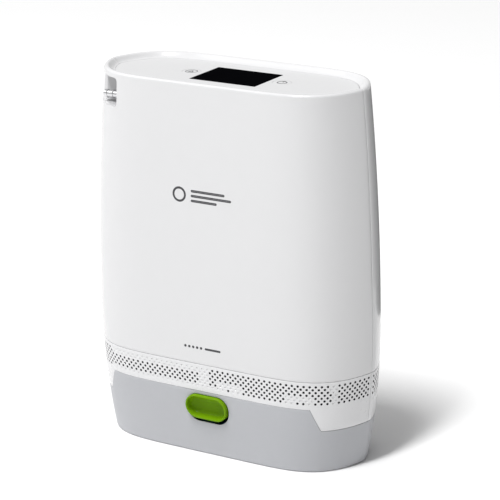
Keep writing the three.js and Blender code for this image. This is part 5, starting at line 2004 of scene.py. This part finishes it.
@dataclass
class Inside:
    """The pieces that keep their CAD nodes, with a finish for each material slot."""

    finishes: Finishes
    by_slot: dict[str, str] = field(
        default_factory=lambda: {
            "white_shell": "gloss_white",
            "white_band": "band_white",
            "panel_white": "panel_satin",
            "black_glass": "window_black",
            "grey_case": "battery_grey",
            "green_button": "button_green",
            "nickel": "bright_nickel",
            "brass": "turned_brass",
            "steel": "drawn_steel",
            "cast_alloy": "cast_alloy",
            "drawn_alloy": "drawn_alloy",
            "circuit_board": "board_green",
            "black_plastic": "moulded_black",
            "mount_rubber": "mount_rubber",
            "milky_hose": "milky_silicone",
            "filter_foam": "filter_foam",
            "cell_wrap": "cell_sleeve",
            "label_grey": "label_film",
        }
    )

    def build(self) -> None:
        """Gives every CAD node the finish of its slot."""
        slots = {part["node"]: part["material_slot"] for part in frame["record"]["subparts"]}
        for name, node in frame["nodes"].items():
            material = self.finishes.get(self.by_slot[slots[name]])
            for slot in node.material_slots:
                slot.material = material
        log.info("finishes on %d CAD nodes", len(frame["nodes"]))


@dataclass(frozen=True)
class Lamp:
    """A soft area light: its place and size in metres, and its power in watts."""

    name: str
    spot: Point
    size: tuple[float, float]
    power: float


@dataclass(frozen=True)
class Card:
    """A dark card that only gloss sees: its place and size in metres, and its turn in degrees."""

    name: str
    spot: tuple[float, float]
    turn: float
    size: tuple[float, float]


@dataclass
class Studio:
    """The pale floor, the soft light and the camera.

    spot is the camera's place in millimetres, right, up and back are its axes, and sky is the glow at the
    two ends of X, which it reaches at sky_reach.
    """

    finishes: Finishes
    lens: float = 157.93
    shift: tuple[float, float] = (0.0241, 0.0407)
    spot: Point = (738.642, -1208.248, 589.339)
    right: Point = (0.85576152, 0.51713856, -0.01548967)
    up: Point = (-0.15014406, 0.27688662, 0.94909987)
    back: Point = (0.49510502, -0.80987747, 0.3145942)
    sky: tuple[float, float] = (0.66, 0.22)
    sky_reach: float = 0.8
    sensor: float = 36.0
    clip: tuple[float, float] = (0.1, 40.0)
    floor: tuple[float, float] = (12.0, -0.0002)
    aim: Point = (0.0, 0.0, 0.12)
    lamps: tuple[Lamp, ...] = (
        Lamp("key", (-0.25, -2.0, 5.8), (0.6, 1.8), 315),
        Lamp("fill", (-2.6, -1.4, 3.0), (2.0, 2.0), 24),
    )
    cards: tuple[Card, ...] = (
        Card("side_card", (0.3, 0.33), -31.4, (0.32, 0.5)),
        Card("back_card", (0.048, 0.295), 10.0, (0.28, 0.2)),
    )

    def build(self) -> None:
        """Builds the floor, lights and camera."""
        scene = bpy.context.scene
        scene.view_settings.view_transform = "Standard"
        bm = bmesh.new()
        size, level = self.floor
        bmesh.ops.create_grid(bm, x_segments=8, y_segments=8, size=size)
        floor = object_of("studio_floor", bm, recalc=False)
        floor.location.z = level
        floor.data.materials.append(self.finishes.get("studio_floor"))
        world = bpy.data.worlds.new("studio")
        world.use_nodes = True
        wire, glow = Wiring(world.node_tree), world.node_tree.nodes["Background"]
        glow.inputs["Color"].default_value = (1, 1, 1, 1)
        way = wire.add("ShaderNodeTexCoord").outputs["Generated"]
        across = wire.add("ShaderNodeSeparateXYZ", {"Vector": way}).outputs["X"]
        bright, dim = self.sky
        ranges = {"Value": across, "From Min": -self.sky_reach, "From Max": self.sky_reach}
        strength = wire.add("ShaderNodeMapRange", ranges | {"To Min": bright, "To Max": dim})
        world.node_tree.links.new(strength.outputs[0], glow.inputs["Strength"])
        scene.world = world
        for lamp in self.lamps:
            self.hang(lamp)
        for card in self.cards:
            self.stand(card)
        self.camera(scene)

    def camera(self, scene: bpy.types.Scene) -> None:
        """Places the camera.

        Args:
            scene: The scene that looks through it.
        """
        camera = bpy.data.cameras.new("camera")
        camera.sensor_width = self.sensor
        camera.lens = self.lens
        camera.shift_x, camera.shift_y = self.shift
        camera.clip_start, camera.clip_end = self.clip
        eye = bpy.data.objects.new("camera", camera)
        scene.collection.objects.link(eye)
        turn = Matrix((self.right, self.up, self.back)).transposed().to_4x4()
        eye.matrix_world = Matrix.Translation(Vector(self.spot) * MM) @ turn
        scene.camera = eye

    def stand(self, card: Card) -> None:
        """Stands a card near the object.

        Args:
            card: The card.
        """
        half, tall = card.size[0] / 2 / MM, card.size[1] / MM
        piece = block(card.name, (-half, -1, 0), (half, 1, tall), 0)
        piece.location = (*card.spot, 0)
        piece.rotation_euler.z = math.radians(card.turn)
        piece.visible_camera = piece.visible_diffuse = piece.visible_shadow = False
        piece.data.materials.append(self.finishes.get("moulded_black"))

    def hang(self, lamp: Lamp) -> None:
        """Hangs a light and aims it at the object.

        Args:
            lamp: The light.
        """
        light = bpy.data.lights.new(lamp.name, "AREA")
        light.shape = "RECTANGLE"
        light.size, light.size_y = lamp.size
        light.energy = lamp.power
        holder = bpy.data.objects.new(lamp.name, light)
        bpy.context.scene.collection.objects.link(holder)
        holder.location = lamp.spot
        way = Vector(self.aim) - Vector(lamp.spot)
        holder.rotation_euler = way.to_track_quat("-Z", "Y").to_euler()


def main() -> None:
    """Builds every sub-assembly in order."""
    logging.basicConfig(level=logging.INFO, format="%(message)s")
    finishes = Finishes()
    form = Form(height=CAD_BOX[1][2] / MM)
    Inside(finishes).build()
    pocket = Pocket(form, finishes)
    pocket.build()
    Casing(form, finishes, pocket).build()
    Panel(form, finishes, pocket).build()
    Band(form, finishes).build()
    Battery(form, finishes).build()
    FrontMark(form, finishes).build()
    Studio(finishes).build()


if __name__ == "__main__":
    main()
